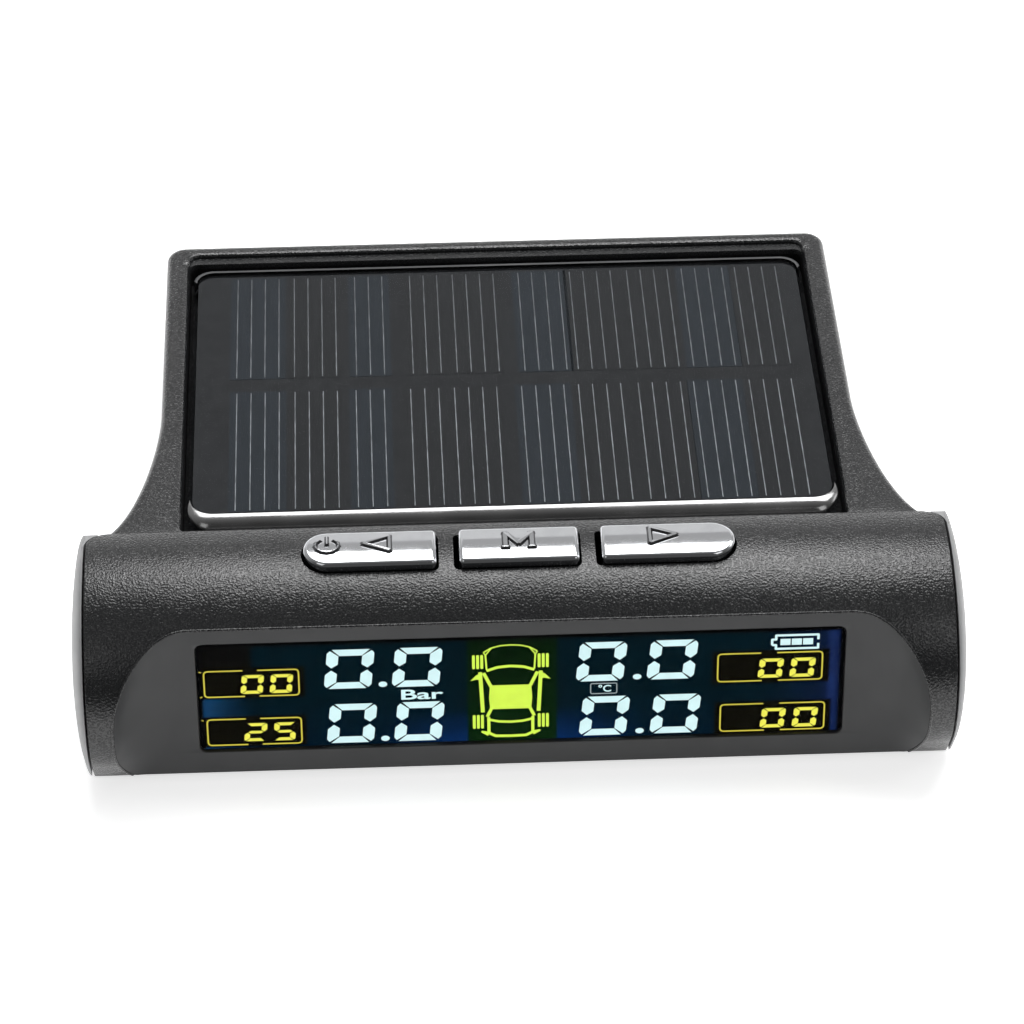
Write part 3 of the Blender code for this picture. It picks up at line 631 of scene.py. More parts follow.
# Plastics: two tones, roughness, then the grain's size and depth in millimetres
HOUSING = plastic(
    "housing_spark", (0.0145, 0.015, 0.016), (0.018, 0.0185, 0.0195), 0.15, 0.2, 0.058, 0.03, 0.0,
    glint=(0.42, 0.74),
)
FACE = plastic("face_satin", (0.022, 0.023, 0.0245), (0.025, 0.026, 0.0275), 0.38, 0.18, 0.002, edges=0.0)
CAP = plastic("cap_satin", (0.31, 0.313, 0.317), (0.34, 0.343, 0.347), 0.48, 0.4, 0.005)
# Near-black for the pocket's floor and deep walls: painted shade where the housing plastic lies in shadow
PAINTED_POCKET_SHADE = plastic(
    "pocket_painted_shade", (0.004, 0.004, 0.0045), (0.007, 0.007, 0.0075), 0.7, 0.3, 0.004, glint=(0.1, 0.2)
)
COVER = plastic("cover_black", (0.018, 0.018, 0.019), (0.026, 0.026, 0.027), 0.58, 0.3, 0.012)
SILICONE = plastic("pad_silicone", grey(0.012), grey(0.02), 0.7, 0.6, 0.01)
BLACK_PART = plastic("black_moulding", grey(0.018), grey(0.03), 0.45, 0.2, 0.004)
WHITE_PART = plastic("white_moulding", (0.72, 0.74, 0.75), (0.8, 0.81, 0.82), 0.42, 0.5, 0.003)
BACKING = plastic(
    "panel_backing", (0.009, 0.0092, 0.0098), (0.011, 0.0112, 0.012), 0.13, 1.5, 0.001, 0.03, 0.0,
    glint=(0.36, 0.42),
)
RED_WIRE = plastic("wire_red", (0.42, 0.02, 0.02), (0.5, 0.035, 0.03), 0.45, 0.4, 0.004)
BLACK_WIRE = plastic("wire_black", grey(0.015), grey(0.03), 0.45, 0.4, 0.004)
CHROME = metal("chrome_plate", (0.72, 0.73, 0.75), (0.66, 0.67, 0.69), 0.09, 0.9, 0.0012, edges=0.0)
# A darker copy of the chrome for the sloping sides of the button marks: painted shade, not a second finish
PAINTED_SHADE_CHROME = metal("chrome_painted_shade", (0.14, 0.14, 0.145), (0.09, 0.09, 0.095), 0.3, 0.3, 0.002, edges=0.0)
STEEL = metal("zinc_steel", (0.55, 0.56, 0.55), (0.42, 0.43, 0.43), 0.3, 0.12, 0.003)
BRASS = metal("spring_brass", (0.66, 0.46, 0.18), (0.5, 0.33, 0.12), 0.28, 0.12, 0.002)
FOIL = metal("cell_foil", (0.6, 0.61, 0.62), (0.5, 0.51, 0.53), 0.36, 0.5, 0.008, (1.0, 4.0, 1.0))
RESIN = clear("panel_resin", 0.9, 0.0, 0.04, (0.95, 0.96, 0.97), 8.0)
# Opaque light grey on the clear slab's rear roll: a painted reflection of the bright backdrop behind
PAINTED_SHEEN_RESIN = plastic(
    "panel_resin_rim_painted_sheen", (0.07, 0.072, 0.075), (0.09, 0.092, 0.096), 0.42, 0.5, 0.002, edges=0.0
)
# Front roll: a real mirror reflection, with its see-through tone darkened to about an eighth as painted shade
# in the gap below
ROLLED_RESIN = clear("panel_resin_front", 1.0, 0.3, 0.18, (0.12, 0.12, 0.125))
LENS = clear("window_lens", 0.03, 0.04, 0.05, (0.98, 0.98, 0.98))


# Housing


def bar_body():
    """The bar as a loft along X, its ends rounded over."""
    ends = []
    for angle in (0.0, 30.0, 60.0, 90.0):
        back = BAR_END_RADIUS * (1 - math.cos(math.radians(angle)))
        inset = BAR_END_RADIUS * (1 - math.sin(math.radians(angle)))
        ends.append((BAR_HALF - back, inset))
    rings = []
    for x, inset in ends:
        rings.append([(x, y, z) for y, z in bar_profile(inset)])
    for x, inset in reversed(ends):
        rings.append([(-x, y, z) for y, z in bar_profile(inset)])
    return loft("housing_shell", rings, HOUSING)


def deck_body():
    """The deck as stacked plans, its upper rim rounded over."""
    rings = [[(x, y, 0.0) for x, y in deck_plan()]]
    for angle in (0.0, 18.0, 36.0, 54.0, 72.0, 90.0):
        inset = DECK_EDGE * (1 - math.cos(math.radians(angle)))
        drop = DECK_EDGE * (1 - math.sin(math.radians(angle)))
        rings.append([(x, y, deck_height(y) - drop) for x, y in deck_plan(inset)])
    return loft("deck_body", rings, HOUSING)


def pocket_cutter():
    """The panel's pocket, flared where it meets the deck; its floor and deep walls are painted near-black as
    shade.
    """
    rings = []
    for depth, grow in ((POCKET_DEPTH, 0.0), *POCKET_RIM):
        x = (-POCKET_HALF - grow, POCKET_HALF + grow)
        plan = rounded_plan(x, (POCKET_RUN[0] - grow * 0.15, POCKET_RUN[1]), 1.0)
        rings.append([on_deck(a, b, depth) for a, b in plan])
    cutter = loft("pocket_cutter", rings, PAINTED_POCKET_SHADE)
    cutter.data.materials.append(HOUSING)
    # The floor and the deepest band of wall keep the painted shade; the flare above takes the housing plastic
    for face in cutter.data.polygons[2 + len(rings[0]):]:
        face.material_index = 1
    return cutter


def ledge_cutter():
    """The step along the pocket's rear edge."""
    rings = []
    for depth, grow in ((LEDGE_DEPTH, 0.0), *LEDGE_RIM):
        x = (-POCKET_HALF - grow, POCKET_HALF + grow)
        plan = rounded_plan(x, (30.0, LEDGE_RUN + grow), 1.0)
        rings.append([on_deck(a, b, depth) for a, b in plan])
    return loft("ledge_cutter", rings)


def face_cutter():
    """What is scooped out of the bar in front of the display face."""
    heights = [-2.0, BAR_FOOT]
    heights += [FACE_TOP * math.sin(math.radians(90.0 * i / FACE_ROWS)) for i in range(FACE_ROWS + 1)]
    heights.append(FACE_TOP + 2.0)
    rings = []
    for up in heights:
        half = [(x, -proud) for x, proud in runout(min(up, FACE_TOP))]
        left = [(-x, depth) for x, depth in reversed(half)]
        rings.append([on_face(x, up, depth) for x, depth in half + left])
    return loft("face_cutter", rings, FACE)


def window_cutter():
    rings = []
    for depth, grow in ((WALL + 1.0, 0.0), (0.16, 0.0), (0.05, 0.04), (0.0, 0.12), (-5.0, 0.12)):
        x = (-WINDOW_HALF - grow, WINDOW_HALF + grow)
        plan = rounded_plan(x, (WINDOW_FOOT - grow, WINDOW_TOP + grow), WINDOW_CORNER, 6)
        rings.append([on_face(a, b, depth) for a, b in plan])
    return loft("window_cutter", rings, BLACK_PART)


def button_plan(x, end, inset=0.0, end_inset=None):
    """A button's plan as two matching sides: up the right one by y, then down the left one."""
    end_inset = inset if end_inset is None else end_inset
    low, high = BUTTON_FRONT + end_inset, BUTTON_REAR - end_inset
    x = (x[0] + inset, x[1] - inset)
    full = (high - low) / 2
    square = max(0.45 - end_inset, 0.1)
    radii = (full if end == "left" else square, full if end == "right" else square)
    heights = [low + full * (1 - math.cos(math.pi * i / BUTTON_STEPS)) for i in range(BUTTON_STEPS + 1)]

    def shrink(y, radius):
        """How far a corner of a radius draws the side in at a height."""
        into = max(radius - (y - low), radius - (high - y), 0.0)
        return radius - math.sqrt(max(radius**2 - into**2, 0.0))

    right = [(x[1] - shrink(y, radii[1]), y) for y in heights]
    left = [(x[0] + shrink(y, radii[0]), y) for y in reversed(heights)]
    return right + left


def case_bosses():
    """Screw towers inside the case, as upright rods."""
    rods = []
    for corner in CASE_CORNERS:
        low, high = station_box(f"case_screw_{corner}")
        centre = (low + high) / 2
        outline = ring((centre.x, centre.y), BOSS_RADIUS, 24)
        rods.append(prism(f"boss_{corner}", outline, high.z + 0.4, deck_height(centre.y, 1.0), HOUSING))
    return rods


def face_lip():
    """A fine bead round the display face, half sunk where the face meets the bar."""
    path = [(face_half(up), up, bar_stands_proud(up)) for up in (-0.36, -0.2, 0.0)]
    for i in range(1, FACE_ROWS * 2):
        up = FACE_TOP * math.sin(math.radians(90.0 * i / (FACE_ROWS * 2)))
        path.append((face_half(up), up, bar_stands_proud(up)))
    path += [(FACE_HALF_TOP * (1 - i / 6), FACE_TOP, 0.0) for i in range(7)]
    path = [Vector(on_face(x, up, -proud)) for x, up, proud in path]
    path += [Vector((-p.x, p.y, p.z)) for p in reversed(path[:-1])]
    points = []
    for i, point in enumerate(path):
        along = (path[min(i + 1, len(path) - 1)] - path[max(i - 1, 0)]).normalized()
        out = Vector(on_face(0, 0, -1.0))
        side = along.cross(out).normalized()
        out = side.cross(along)
        for u, v in ring((0.0, -0.04), LIP_RADIUS, 8):
            points.append(tuple(point + side * u + out * v))
    count = len(path)
    rings = [points[8 * i:8 * i + 8] for i in range(count)]
    lip = smooth(loft("face_lip", rings, HOUSING), 60.0)
    show(lip, "monitor", "housing")


def end_corner(side, radius, reach):
    """Plan of what lies outside a rounded corner at the back of the bar's end, out to a reach in x and y."""
    x, y = BAR_HALF - END_CORNER, BAR_BACK - END_CORNER
    turn = [math.radians(7.5 * i) for i in range(13)]
    inner = [(x + radius * math.cos(a), y + radius * math.sin(a)) for a in turn]
    inner = [(a, b) for a, b in inner if b < reach[1] - 0.02]
    outline = inner + [(inner[-1][0], reach[1]), reach, (reach[0], y)]
    return [(side * a, b) for a, b in outline]


def housing():
    body = bar_body()
    combine(body, "UNION", deck_body())
    for side in (-1, 1):
        plan = end_corner(side, END_CORNER, (BAR_HALF + 1.0, BAR_BACK + 0.6))
        combine(body, "DIFFERENCE", prism("corner_cutter", plan, BELOW, ABOVE, HOUSING))
    cavity = inner_profile(WALL, CAVITY_REAR, CAVITY_FOOT)
    ends = (-BAR_HALF - 1.0, BAR_HALF + 1.0)
    bar_cavity = loft("bar_cavity", [[(x, y, z) for y, z in cavity] for x in ends], BLACK_PART)
    plan = deck_plan(WALL + 0.2, 14.0)
    ceiling = POCKET_DEPTH + POCKET_FLOOR
    deck_cavity = prism("deck_cavity", plan, BELOW, lambda y: deck_height(y, ceiling), BLACK_PART)
    combine(body, "DIFFERENCE", bar_cavity, deck_cavity)
    combine(body, "UNION", *case_bosses())
    low, high = station_box("usb_socket_shell")
    outline = rounded_plan((low.x - 0.45, high.x + 0.45), (low.z - 0.4, high.z + 0.4), 0.5, 4)
    usb_mouth = loft("usb_mouth", [[(x, y, z) for x, z in outline] for y in (60.0, 70.0)], HOUSING)
    combine(body, "DIFFERENCE", face_cutter(), pocket_cutter(), ledge_cutter(), window_cutter(), usb_mouth)
    for name, (x0, x1, end) in BUTTONS.items():
        wider = 0.0 if end == "left" else BUTTON_LEFT_SLOT
        plan = button_plan((x0 - wider, x1), end, -BUTTON_SIDE_GAP, -BUTTON_END_GAP)
        combine(body, "DIFFERENCE", prism(f"slot_{name}", plan, BUTTON_SLOT_FOOT, ABOVE, HOUSING))
    smooth(body, 25.0)
    show(body, "monitor", "housing", "top_housing")


def end_caps():
    """Shallow domes over the ends of the bar, plugged into it."""
    start = BAR_HALF + CAP_SEAM
    middle_y, middle_z = CAP_CENTRE
    from_middle = [(y - middle_y, z - middle_z) for y, z in bar_profile(0.05)]
    for side, name in ((-1, "left"), (1, "right")):
        rings = []
        for i in range(CAP_RINGS):
            spread = math.cos(math.radians(90.0 * i / CAP_RINGS))
            x = side * (start + CAP_RISE * math.sqrt(1 - spread**2))
            rings.append([(x, middle_y + y * spread, middle_z + z * spread) for y, z in from_middle])
        cap = loft(f"side_cap_{name}", rings, CAP)
        plug = inner_profile(WALL + 0.3, CAVITY_REAR - 0.3, 2.7)
        inner = [[(side * x, y, z) for y, z in plug] for x in (BAR_HALF - 1.5, start + 0.1)]
        combine(cap, "UNION", loft("cap_plug", inner, BLACK_PART))
        plan = end_corner(side, END_CORNER + CAP_SEAM, (start + 0.2, BAR_BACK - 0.05))
        corner = prism("cap_corner", plan, BAR_FOOT + 0.1, lambda y: drum_height(y, -0.06), CAP)
        combine(cap, "UNION", corner)
        smooth(cap, 40.0)
        show(cap, "monitor", "end_caps", f"end_cap_{name}")


# Solar panel


def tray_plan(inset):
    """The hollow under the clear slab that holds the cells."""
    half = PANEL_HALF - TRAY_SIDE - inset
    run = (PANEL_RUN[0] + TRAY_FRONT + inset, PANEL_RUN[1] - TRAY_REAR - inset)
    return rounded_plan((-half, half), run, TRAY_CORNER, 12)


def panel_resin():
    """The clear slab, rolled down along the front, less behind and least at the sides."""
    steps = 10
    rise = [i / steps for i in range(steps + 1)]
    flat = [0.0] * len(rise)
    rearness = rise + rise[::-1] + flat + flat
    frontness = flat + flat + rise + rise[::-1]
    base = rounded_plan((-PANEL_HALF, PANEL_HALF), PANEL_RUN, PANEL_CORNER, steps)
    rings = [[on_deck(x, run, PANEL_FOOT) for x, run in base]]
    for i in range(10):
        angle = math.radians(10.0 * i)
        drawn = 1 - math.cos(angle)
        inset = PANEL_EDGE * drawn
        x = (-PANEL_HALF + inset, PANEL_HALF - inset)
        run = (PANEL_RUN[0] + PANEL_ROLL * drawn, PANEL_RUN[1] - PANEL_REAR * drawn)
        corners = tuple(radius - inset for radius in PANEL_CORNER)
        points = []
        for (a, b), rear, front in zip(rounded_plan(x, run, corners, steps), rearness, frontness):
            roll = PANEL_EDGE + (PANEL_REAR - PANEL_EDGE) * rear + (PANEL_ROLL - PANEL_EDGE) * front
            points.append(on_deck(a, b, PANEL_TOP + roll * (1 - math.sin(angle))))
        rings.append(points)
    cover = loft("panel_cover", rings, RESIN)
    cover.data.materials.append(ROLLED_RESIN)
    cover.data.materials.append(PAINTED_SHEEN_RESIN)
    half = 2 * (steps + 1)
    for i, face in enumerate(cover.data.polygons[2:]):
        ring_below, column = divmod(i, 2 * half)
        # Rear columns take the light grey painted reflection; front columns, above the lowest rings, take the
        # darkened front resin
        if column < half - 1:
            face.material_index = 2
        elif half <= column < 2 * half - 1 and 2 < ring_below < len(rings) - 2:
            face.material_index = 1
    points, faces = deck_slab(tray_plan(0.0), (CELL_DEPTH - 0.08, PANEL_FOOT + 1.0))
    combine(cover, "DIFFERENCE", new_object("panel_tray", points, faces, RESIN))
    smooth(cover, 30.0)
    show(cover, "monitor", "solar_resin", "solar_cover")


def cell_materials():
    """Silicon under resin: dark, with slow streaks along the strips; the second kind is bluer."""
    made = []
    kinds = (
        ("silicon_grey", (0.006, 0.0062, 0.0066), (0.01, 0.0102, 0.0108)),
        ("silicon_blue", (0.008, 0.0125, 0.017), (0.012, 0.017, 0.023)),
    )
    for name, dark, light in kinds:
        material, principled = shader(name, Specular_IOR_Level=0.4)
        streaks = noise(material, 0.8, 3.0, (1.0, 0.05, 1.0))
        rough = between(material, noise(material, 2.0, 3.0), 0.09, 0.15)
        feed(material, principled, Base_Color=tint(material, streaks, dark, light), Roughness=rough)
        bump(material, principled, (noise(material, 2.0, 2.0), 0.001))
        made.append(material)
    return made


def solar_cells():
    """Two rows of strips on a dark laminate, and their printed silver fingers, with painted shade making them
    duller to the rear.
    """
    plain, bluish = cell_materials()
    points, faces = deck_slab(tray_plan(0.05), (CELL_DEPTH + 0.02, CELL_DEPTH + 0.3))
    laminate = new_object("cell_laminate", points, faces, BACKING)
    show(laminate, "monitor", "solar_cells", "solar_cells")
    strips = {"grey": [], "blue": []}
    fingers = []
    for starts, count, bluer in STRIPS:
        for first, (low, high) in zip(starts, CELL_ROWS):
            last = first + (count - 1) * FINGER_PITCH
            outline = rectangle((first - STRIP_MARGIN, last + STRIP_MARGIN), (low - 0.25, high + 0.25))
            strips["blue" if bluer else "grey"].append(deck_slab(outline, (CELL_DEPTH, CELL_DEPTH + 0.015)))
            for finger in range(count):
                middle = first + finger * FINGER_PITCH
                outline = rectangle((middle - FINGER_WIDTH / 2, middle + FINGER_WIDTH / 2), (low, high))
                fingers.append(deck_slab(outline, (CELL_DEPTH - 0.02, CELL_DEPTH + 0.004)))
    for kind, material in (("grey", plain), ("blue", bluish)):
        show(merge(f"cell_strips_{kind}", strips[kind], material), "monitor", "solar_cells")
    silver, principled = shader("printed_silver", Metallic=0.3, Roughness=0.45)
    wear = tint(silver, noise(silver, 1.5, 4.0), (0.16, 0.165, 0.17), (0.34, 0.35, 0.36))
    # Painted shade: the fingers' colour falls to under half across the first 30 mm towards the rear
    spot = add_node(silver, "ShaderNodeSeparateXYZ")
    link(silver, coordinates(silver), spot.inputs["Vector"])
    painted_rear_shade = add_node(silver, "ShaderNodeVectorMath", operation="SCALE")
    link(silver, wear, painted_rear_shade.inputs[0])
    link(silver, between(silver, spot.outputs["Y"], 1.0, 0.45, 0.0, 30 * MM), painted_rear_shade.inputs["Scale"])
    feed(silver, principled, Base_Color=painted_rear_shade.outputs["Vector"])
    show(merge("cell_fingers", fingers, silver), "monitor", "metal_parts")


# Display

LCD_X = (-WINDOW_HALF + WINDOW_GAP, WINDOW_HALF - WINDOW_GAP)
LCD_UP = (WINDOW_FOOT + WINDOW_GAP, WINDOW_TOP - WINDOW_GAP)
LCD_DEPTH = 0.45
INK = 0.012  # thickness of a printed or lit shape
BIG_WIDTH = 4.6
BIG_ROWS = (
    (8.85, 13.46, (-19.2, -12.62, 5.27, 12.15)),
    (2.34, 7.0, (-19.1, -12.52, 5.58, 12.53)),
)
SLANT = 0.1
# Each temperature: the box's width and height on the face, the digits' height, and where each digit starts
TEMPERATURES = (
    ((-30.75, -21.58), (8.27, 11.32), (8.57, 10.78), 2.15, ((-27.28, "0"), (-24.46, "0"))),
    ((-30.66, -21.5), (2.48, 5.57), (2.87, 5.02), 2.15, ((-27.15, "2"), (-24.32, "5"))),
    ((19.12, 29.3), (8.32, 11.6), (8.65, 10.92), 2.36, ((23.0, "0"), (26.1, "0"))),
    ((19.48, 29.7), (2.34, 5.55), (2.64, 4.97), 2.36, ((23.36, "0"), (26.52, "0"))),
)
UPPER_SIDE = [(0.0, 0.64), (0.0, 0.9), (0.06, 0.97), (0.25, 0.83), (0.25, 0.62), (0.12, 0.53)]
TOP_BAR = [(0.1, 1.0), (0.9, 1.0), (0.74, 0.84), (0.27, 0.84)]
MIDDLE_BAR = [(0.16, 0.5), (0.27, 0.57), (0.73, 0.57), (0.84, 0.5), (0.73, 0.43), (0.27, 0.43)]


def flipped(outline, across=False, upright=False):
    return [(1 - u if across else u, 1 - v if upright else v) for u, v in outline]


SEGMENTS = {
    "a": TOP_BAR,
    "b": flipped(UPPER_SIDE, across=True),
    "c": flipped(UPPER_SIDE, across=True, upright=True),
    "d": flipped(TOP_BAR, upright=True),
    "e": flipped(UPPER_SIDE, upright=True),
    "f": UPPER_SIDE,
    "g": MIDDLE_BAR,
}
GLYPHS = {"0": "abcdef", "2": "abged", "5": "afgcd"}


def ink(outline, lift=0.0):
    """A lit shape on the display glass from a flat outline."""
    depth = LCD_DEPTH - lift
    return face_slab(outline, (depth - INK, depth + 0.004))


def digit(glyph, x, rows, width):
    low, high = rows
    made = []
    for segment in GLYPHS[glyph]:
        outline = []
        for u, v in SEGMENTS[segment]:
            up = low + v * (high - low)
            outline.append((x + u * width + SLANT * (up - low), up))
        made.append(ink(outline))
    return made


def stroke(points, width, closed=False):
    """A line of even width along points, one quad for each stretch and a dot at each bend."""
    made = []
    last = len(points) if closed else len(points) - 1
    for i in range(last):
        a, b = Vector(points[i]), Vector(points[(i + 1) % len(points)])
        side = (b - a).normalized().orthogonal() * width / 2
        made.append(ink([tuple(a + side), tuple(b + side), tuple(b - side), tuple(a - side)]))
    for point in points[0 if closed else 1:len(points) if closed else -1]:
        made.append(ink(ring(point, width / 2, 12), 0.001))
    return made


def yellow_box(x, up):
    """A thin rounded frame, open in the middle of its top and bottom lines."""
    width = x[1] - x[0]
    corner = 0.38
    plan = rounded_plan(x, up, corner, 5)
    half = len(plan) // 4
    right = plan[3 * half:] + plan[:half]
    left = plan[half:3 * half]
    right = [(x[0] + 0.58 * width, up[0])] + right + [(x[0] + 0.565 * width, up[1])]
    left = [(x[0] + 0.41 * width, up[1])] + left + [(x[0] + 0.425 * width, up[0])]
    return stroke(right, 0.14) + stroke(left, 0.14)


def lettering(name, text, start, size, material):
    """Generic unit lettering from Blender's own font, scaled to a box on the display."""
    curve = bpy.data.curves.new(name, "FONT")
    curve.body = text
    curve.offset = 0.02
    holder = place(name, curve)
    graph = bpy.context.evaluated_depsgraph_get()
    flat = bpy.data.meshes.new_from_object(holder.evaluated_get(graph))
    bpy.data.objects.remove(holder)
    spans = [[v.co[axis] for v in flat.vertices] for axis in (0, 1)]
    low = [min(span) for span in spans]
    grow = [size[axis] / (max(spans[axis]) - low[axis]) for axis in (0, 1)]
    for vertex in flat.vertices:
        x, up = [start[axis] + (vertex.co[axis] - low[axis]) * grow[axis] for axis in (0, 1)]
        vertex.co = (Vector(on_face(x, up, LCD_DEPTH - INK)) + FOOT) * MM
    flat.materials.append(material)
    show(place(name, flat), "monitor", "lcd_glass")


def car_icon():
    """A plain car seen from above, nose up, as strokes and filled shapes about its middle."""
    middle = -1.05
    made = []

    def both(draw):
        for side in (-1, 1):
            made.extend(draw(lambda x, up: (middle + side * x, up)))

    hood = [(2.62, 12.62), (1.9, 13.12), (1.0, 13.38), (0.0, 13.45)]
    both(lambda at: stroke([at(*p) for p in hood], 0.14))
    both(lambda at: stroke([at(2.62, 12.62), at(2.42, 12.3), at(1.85, 13.1)], 0.12))
    both(lambda at: stroke([at(2.42, 12.3), at(2.32, 10.6)], 0.17))
    both(lambda at: stroke([at(2.32, 10.45), at(1.3, 10.83), at(0.0, 10.96)], 0.3))
    both(lambda at: stroke([at(2.62, 10.2), at(1.9, 8.55)], 0.34))
    both(lambda at: stroke([at(2.95, 10.3), at(2.72, 5.5)], 0.38))
    both(lambda at: stroke([at(1.85, 8.6), at(1.95, 7.2), at(1.85, 6.0), at(2.3, 4.95)], 0.32))
    both(lambda at: stroke([at(2.3, 4.65), at(1.2, 4.36), at(0.0, 4.28)], 0.27))
    both(lambda at: stroke([at(2.15, 4.9), at(2.15, 3.0), at(1.5, 2.62), at(0.0, 2.58)], 0.3))
    both(lambda at: stroke([at(2.2, 3.05), at(2.8, 3.15), at(2.2, 2.75)], 0.22))
    mirror = [(2.9, 10.15), (3.35, 9.95), (3.9, 9.3), (3.3, 9.45), (2.9, 9.35)]
    both(lambda at: [ink([at(*p) for p in mirror], 0.002)])
    made.append(ink(rectangle((middle - 1.95, middle + 1.95), (5.85, 8.7)), 0.002))
    for foot, head in ((10.6, 12.35), (3.45, 5.2)):
        for rib in (2.78, 3.18, 3.58):
            plan = rounded_plan((rib - 0.14, rib + 0.14), (foot + 0.1, head), 0.12, 3)
            both(lambda at, plan=plan: [ink([at(*p) for p in plan])])
    return made


def backlight(x, up):
    """Colour of the unlit display: navy, bluer at the ends, green behind the car, black round the rim."""
    share = (up - LCD_UP[0]) / (LCD_UP[1] - LCD_UP[0])
    if x < LCD_X[0] + 0.45 or x > LCD_X[1] - 0.45 or up > LCD_UP[1] - 0.7:
        return Vector((0.0006, 0.0006, 0.0008))
    for (left, right), (low, high), *_ in TEMPERATURES:
        if left - 0.5 < x < right + 0.6 and low - 0.35 < up < high + 0.35:
            return Vector((0.0025, 0.0022, 0.001))
    if x < -26.2 and share > 0.72:
        return Vector((0.0012, 0.0012, 0.001))
    if -5.38 < x < 3.4:
        return Vector((0.001, 0.0085, 0.0014)) * (1.8 - share)
    colour = Vector((0.0003, 0.0066, 0.0115))
    colour += Vector((0.0004, 0.003, 0.016)) * max(0.0, 0.45 - share)
    colour += Vector((0.006, 0.045, 0.13)) * max(0.0, (-25.5 - x) / 5.5) ** 2
    colour += Vector((0.003, 0.004, 0.035)) * max(0.0, (x - 22.0) / 9.0) ** 2
    colour += Vector((0.006, 0.014, 0.07)) * max(0.0, 1.0 - abs(x - 30.3) / 0.7)
    foot_glow = max(0.0, 1.0 - share / 0.3) * max(0.0, 1.0 - abs(x + 1.0) / 13.0)
    colour += Vector((0.002, 0.02, 0.12)) * foot_glow
    return colour


def display_glass():
    """The display's lit ground, its colours held at the corners of a fine grid."""
    columns, rows = 208, 48
    across = [LCD_X[0] + (LCD_X[1] - LCD_X[0]) * i / columns for i in range(columns + 1)]
    heights = [LCD_UP[0] + (LCD_UP[1] - LCD_UP[0]) * j / rows for j in range(rows + 1)]
    spots = [(x, up) for up in heights for x in across]
    points = [on_face(x, up, LCD_DEPTH) for x, up in spots]
    faces = []
    for j in range(rows):
        for i in range(columns):
            a = j * (columns + 1) + i
            faces.append((a, a + 1, a + columns + 2, a + columns + 1))
    front = len(points)
    points += [on_face(x, up, LCD_DEPTH + 1.0) for x, up in rectangle(LCD_X, LCD_UP)]
    faces.append((front, front + 1, front + 2, front + 3))
    bottom = list(range(columns + 1))
    right = [j * (columns + 1) + columns for j in range(rows + 1)]
    top = [rows * (columns + 1) + i for i in range(columns, -1, -1)]
    left = [j * (columns + 1) for j in range(rows, -1, -1)]
    for k, edge in enumerate((bottom, right, top, left)):
        faces.append((*edge, front + (k + 1) % 4, front + k))
    look = {"Roughness": 0.3, "Specular_IOR_Level": 0.0, "Emission_Strength": 1.0}
    material, principled = shader("display_ground", Base_Color=grey(0.0005), **look)
    glass = new_object("display_glass", points, faces, material)
    colours = glass.data.color_attributes.new("ground", "FLOAT_COLOR", "POINT")
    tones = [backlight(x, up) for x, up in spots] + [grey(0.0)] * 4
    for corner, tone in zip(colours.data, tones):
        corner.color = (*tone, 1.0)
    ground = add_node(material, "ShaderNodeVertexColor", layer_name="ground")
    mottle = between(material, noise(material, 1.5, 3.0), 0.8, 1.2)
    vary = add_node(material, "ShaderNodeVectorMath", operation="SCALE")
    link(material, ground.outputs["Color"], vary.inputs[0])
    link(material, mottle, vary.inputs["Scale"])
    feed(material, principled, Emission_Color=vary.outputs["Vector"])
    show(glass, "monitor", "lcd_glass", "lcd_front_glass")


def lit(name, shapes, material):
    show(merge(f"display_{name}", shapes, material), "monitor", "lcd_glass")


def display():
    display_glass()
    pale = glow("segment_pale", (0.72, 0.98, 1.0), 1.1)
    yellow = glow("segment_yellow", (0.93, 0.9, 0.1), 1.1)
    line = glow("segment_line", (0.8, 0.7, 0.07), 1.0)
    green = glow("segment_green", (0.72, 1.0, 0.09), 1.08)
    big = []
    for low, high, columns in BIG_ROWS:
        for x in columns:
            big += digit("0", x, (low, high), BIG_WIDTH)
        for x in (columns[0] + 5.75, columns[2] + 6.0):
            big.append(ink([(x + 0.42 * u, low + 0.38 + 0.32 * v) for u, v in ring((0, 0), 1.0, 20)]))
    lit("pressures", big, pale)
    small, frames = [], []
    for box_x, box_up, rows, width, digits in TEMPERATURES:
        for x, glyph in digits:
            small += digit(glyph, x, rows, width)
        frames += yellow_box(box_x, box_up)
    for up, rise in ((8.35, -0.12), (11.2, 0.12), (5.45, 0.1)):
        frames += stroke([(-31.2, up + rise), (-31.0, up)], 0.1)
    lit("temperatures", small, yellow)
    lit("frames", frames, line)
    lit("car", car_icon(), green)
    icon = []
    left, right, foot, head = 24.72, 28.82, 12.05, 13.62
    for x in (left + 0.42, left + 1.52, left + 2.62):
        icon.append(ink(rectangle((x, x + 0.98), (foot + 0.42, head - 0.42))))
    low_end, high_end = (left - 0.38, 12.5), (left - 0.38, 13.15)
    icon += stroke([low_end, (left, 12.5), (left, foot), (right, foot), (right, 12.6)], 0.24)
    icon += stroke([(right, 13.05), (right, head), (left, head), (left, 13.15), high_end, low_end], 0.24)
    lit("charge", icon, pale)
    lettering("display_unit_pressure", "Bar", (-11.7, 7.3), (4.1, 1.2), pale)
    lettering("display_unit_heat", "°C", (7.5, 7.55), (1.25, 0.85), pale)
    frame_outline = rounded_plan((6.75, 9.3), (7.35, 8.55), 0.15, 3)
    lit("unit_box", stroke(frame_outline, 0.1, True), glow("segment_grey", (0.42, 0.5, 0.52), 0.9))
    plan = rounded_plan(LCD_X, LCD_UP, 0.25, 4)
    lens = [[on_face(x, up, depth) for x, up in plan] for depth in (0.12, 0.38)]
    show(smooth(loft("window_lens", lens, LENS)), "monitor", "window", "display_window")


# Buttons


def drum_height(y, proud=BUTTON_PROUD):
    radius = TOP_RADIUS + proud
    return TOP_CENTRE[1] + math.sqrt(radius**2 - (y - TOP_CENTRE[0]) ** 2)


# Insets from a button's side and drops from its crown, from the skirt in
BUTTON_RINGS = ((0.0, 0.27), (0.1, 0.132), (0.22, 0.045), (0.36, 0.0), (0.42, 0.0))


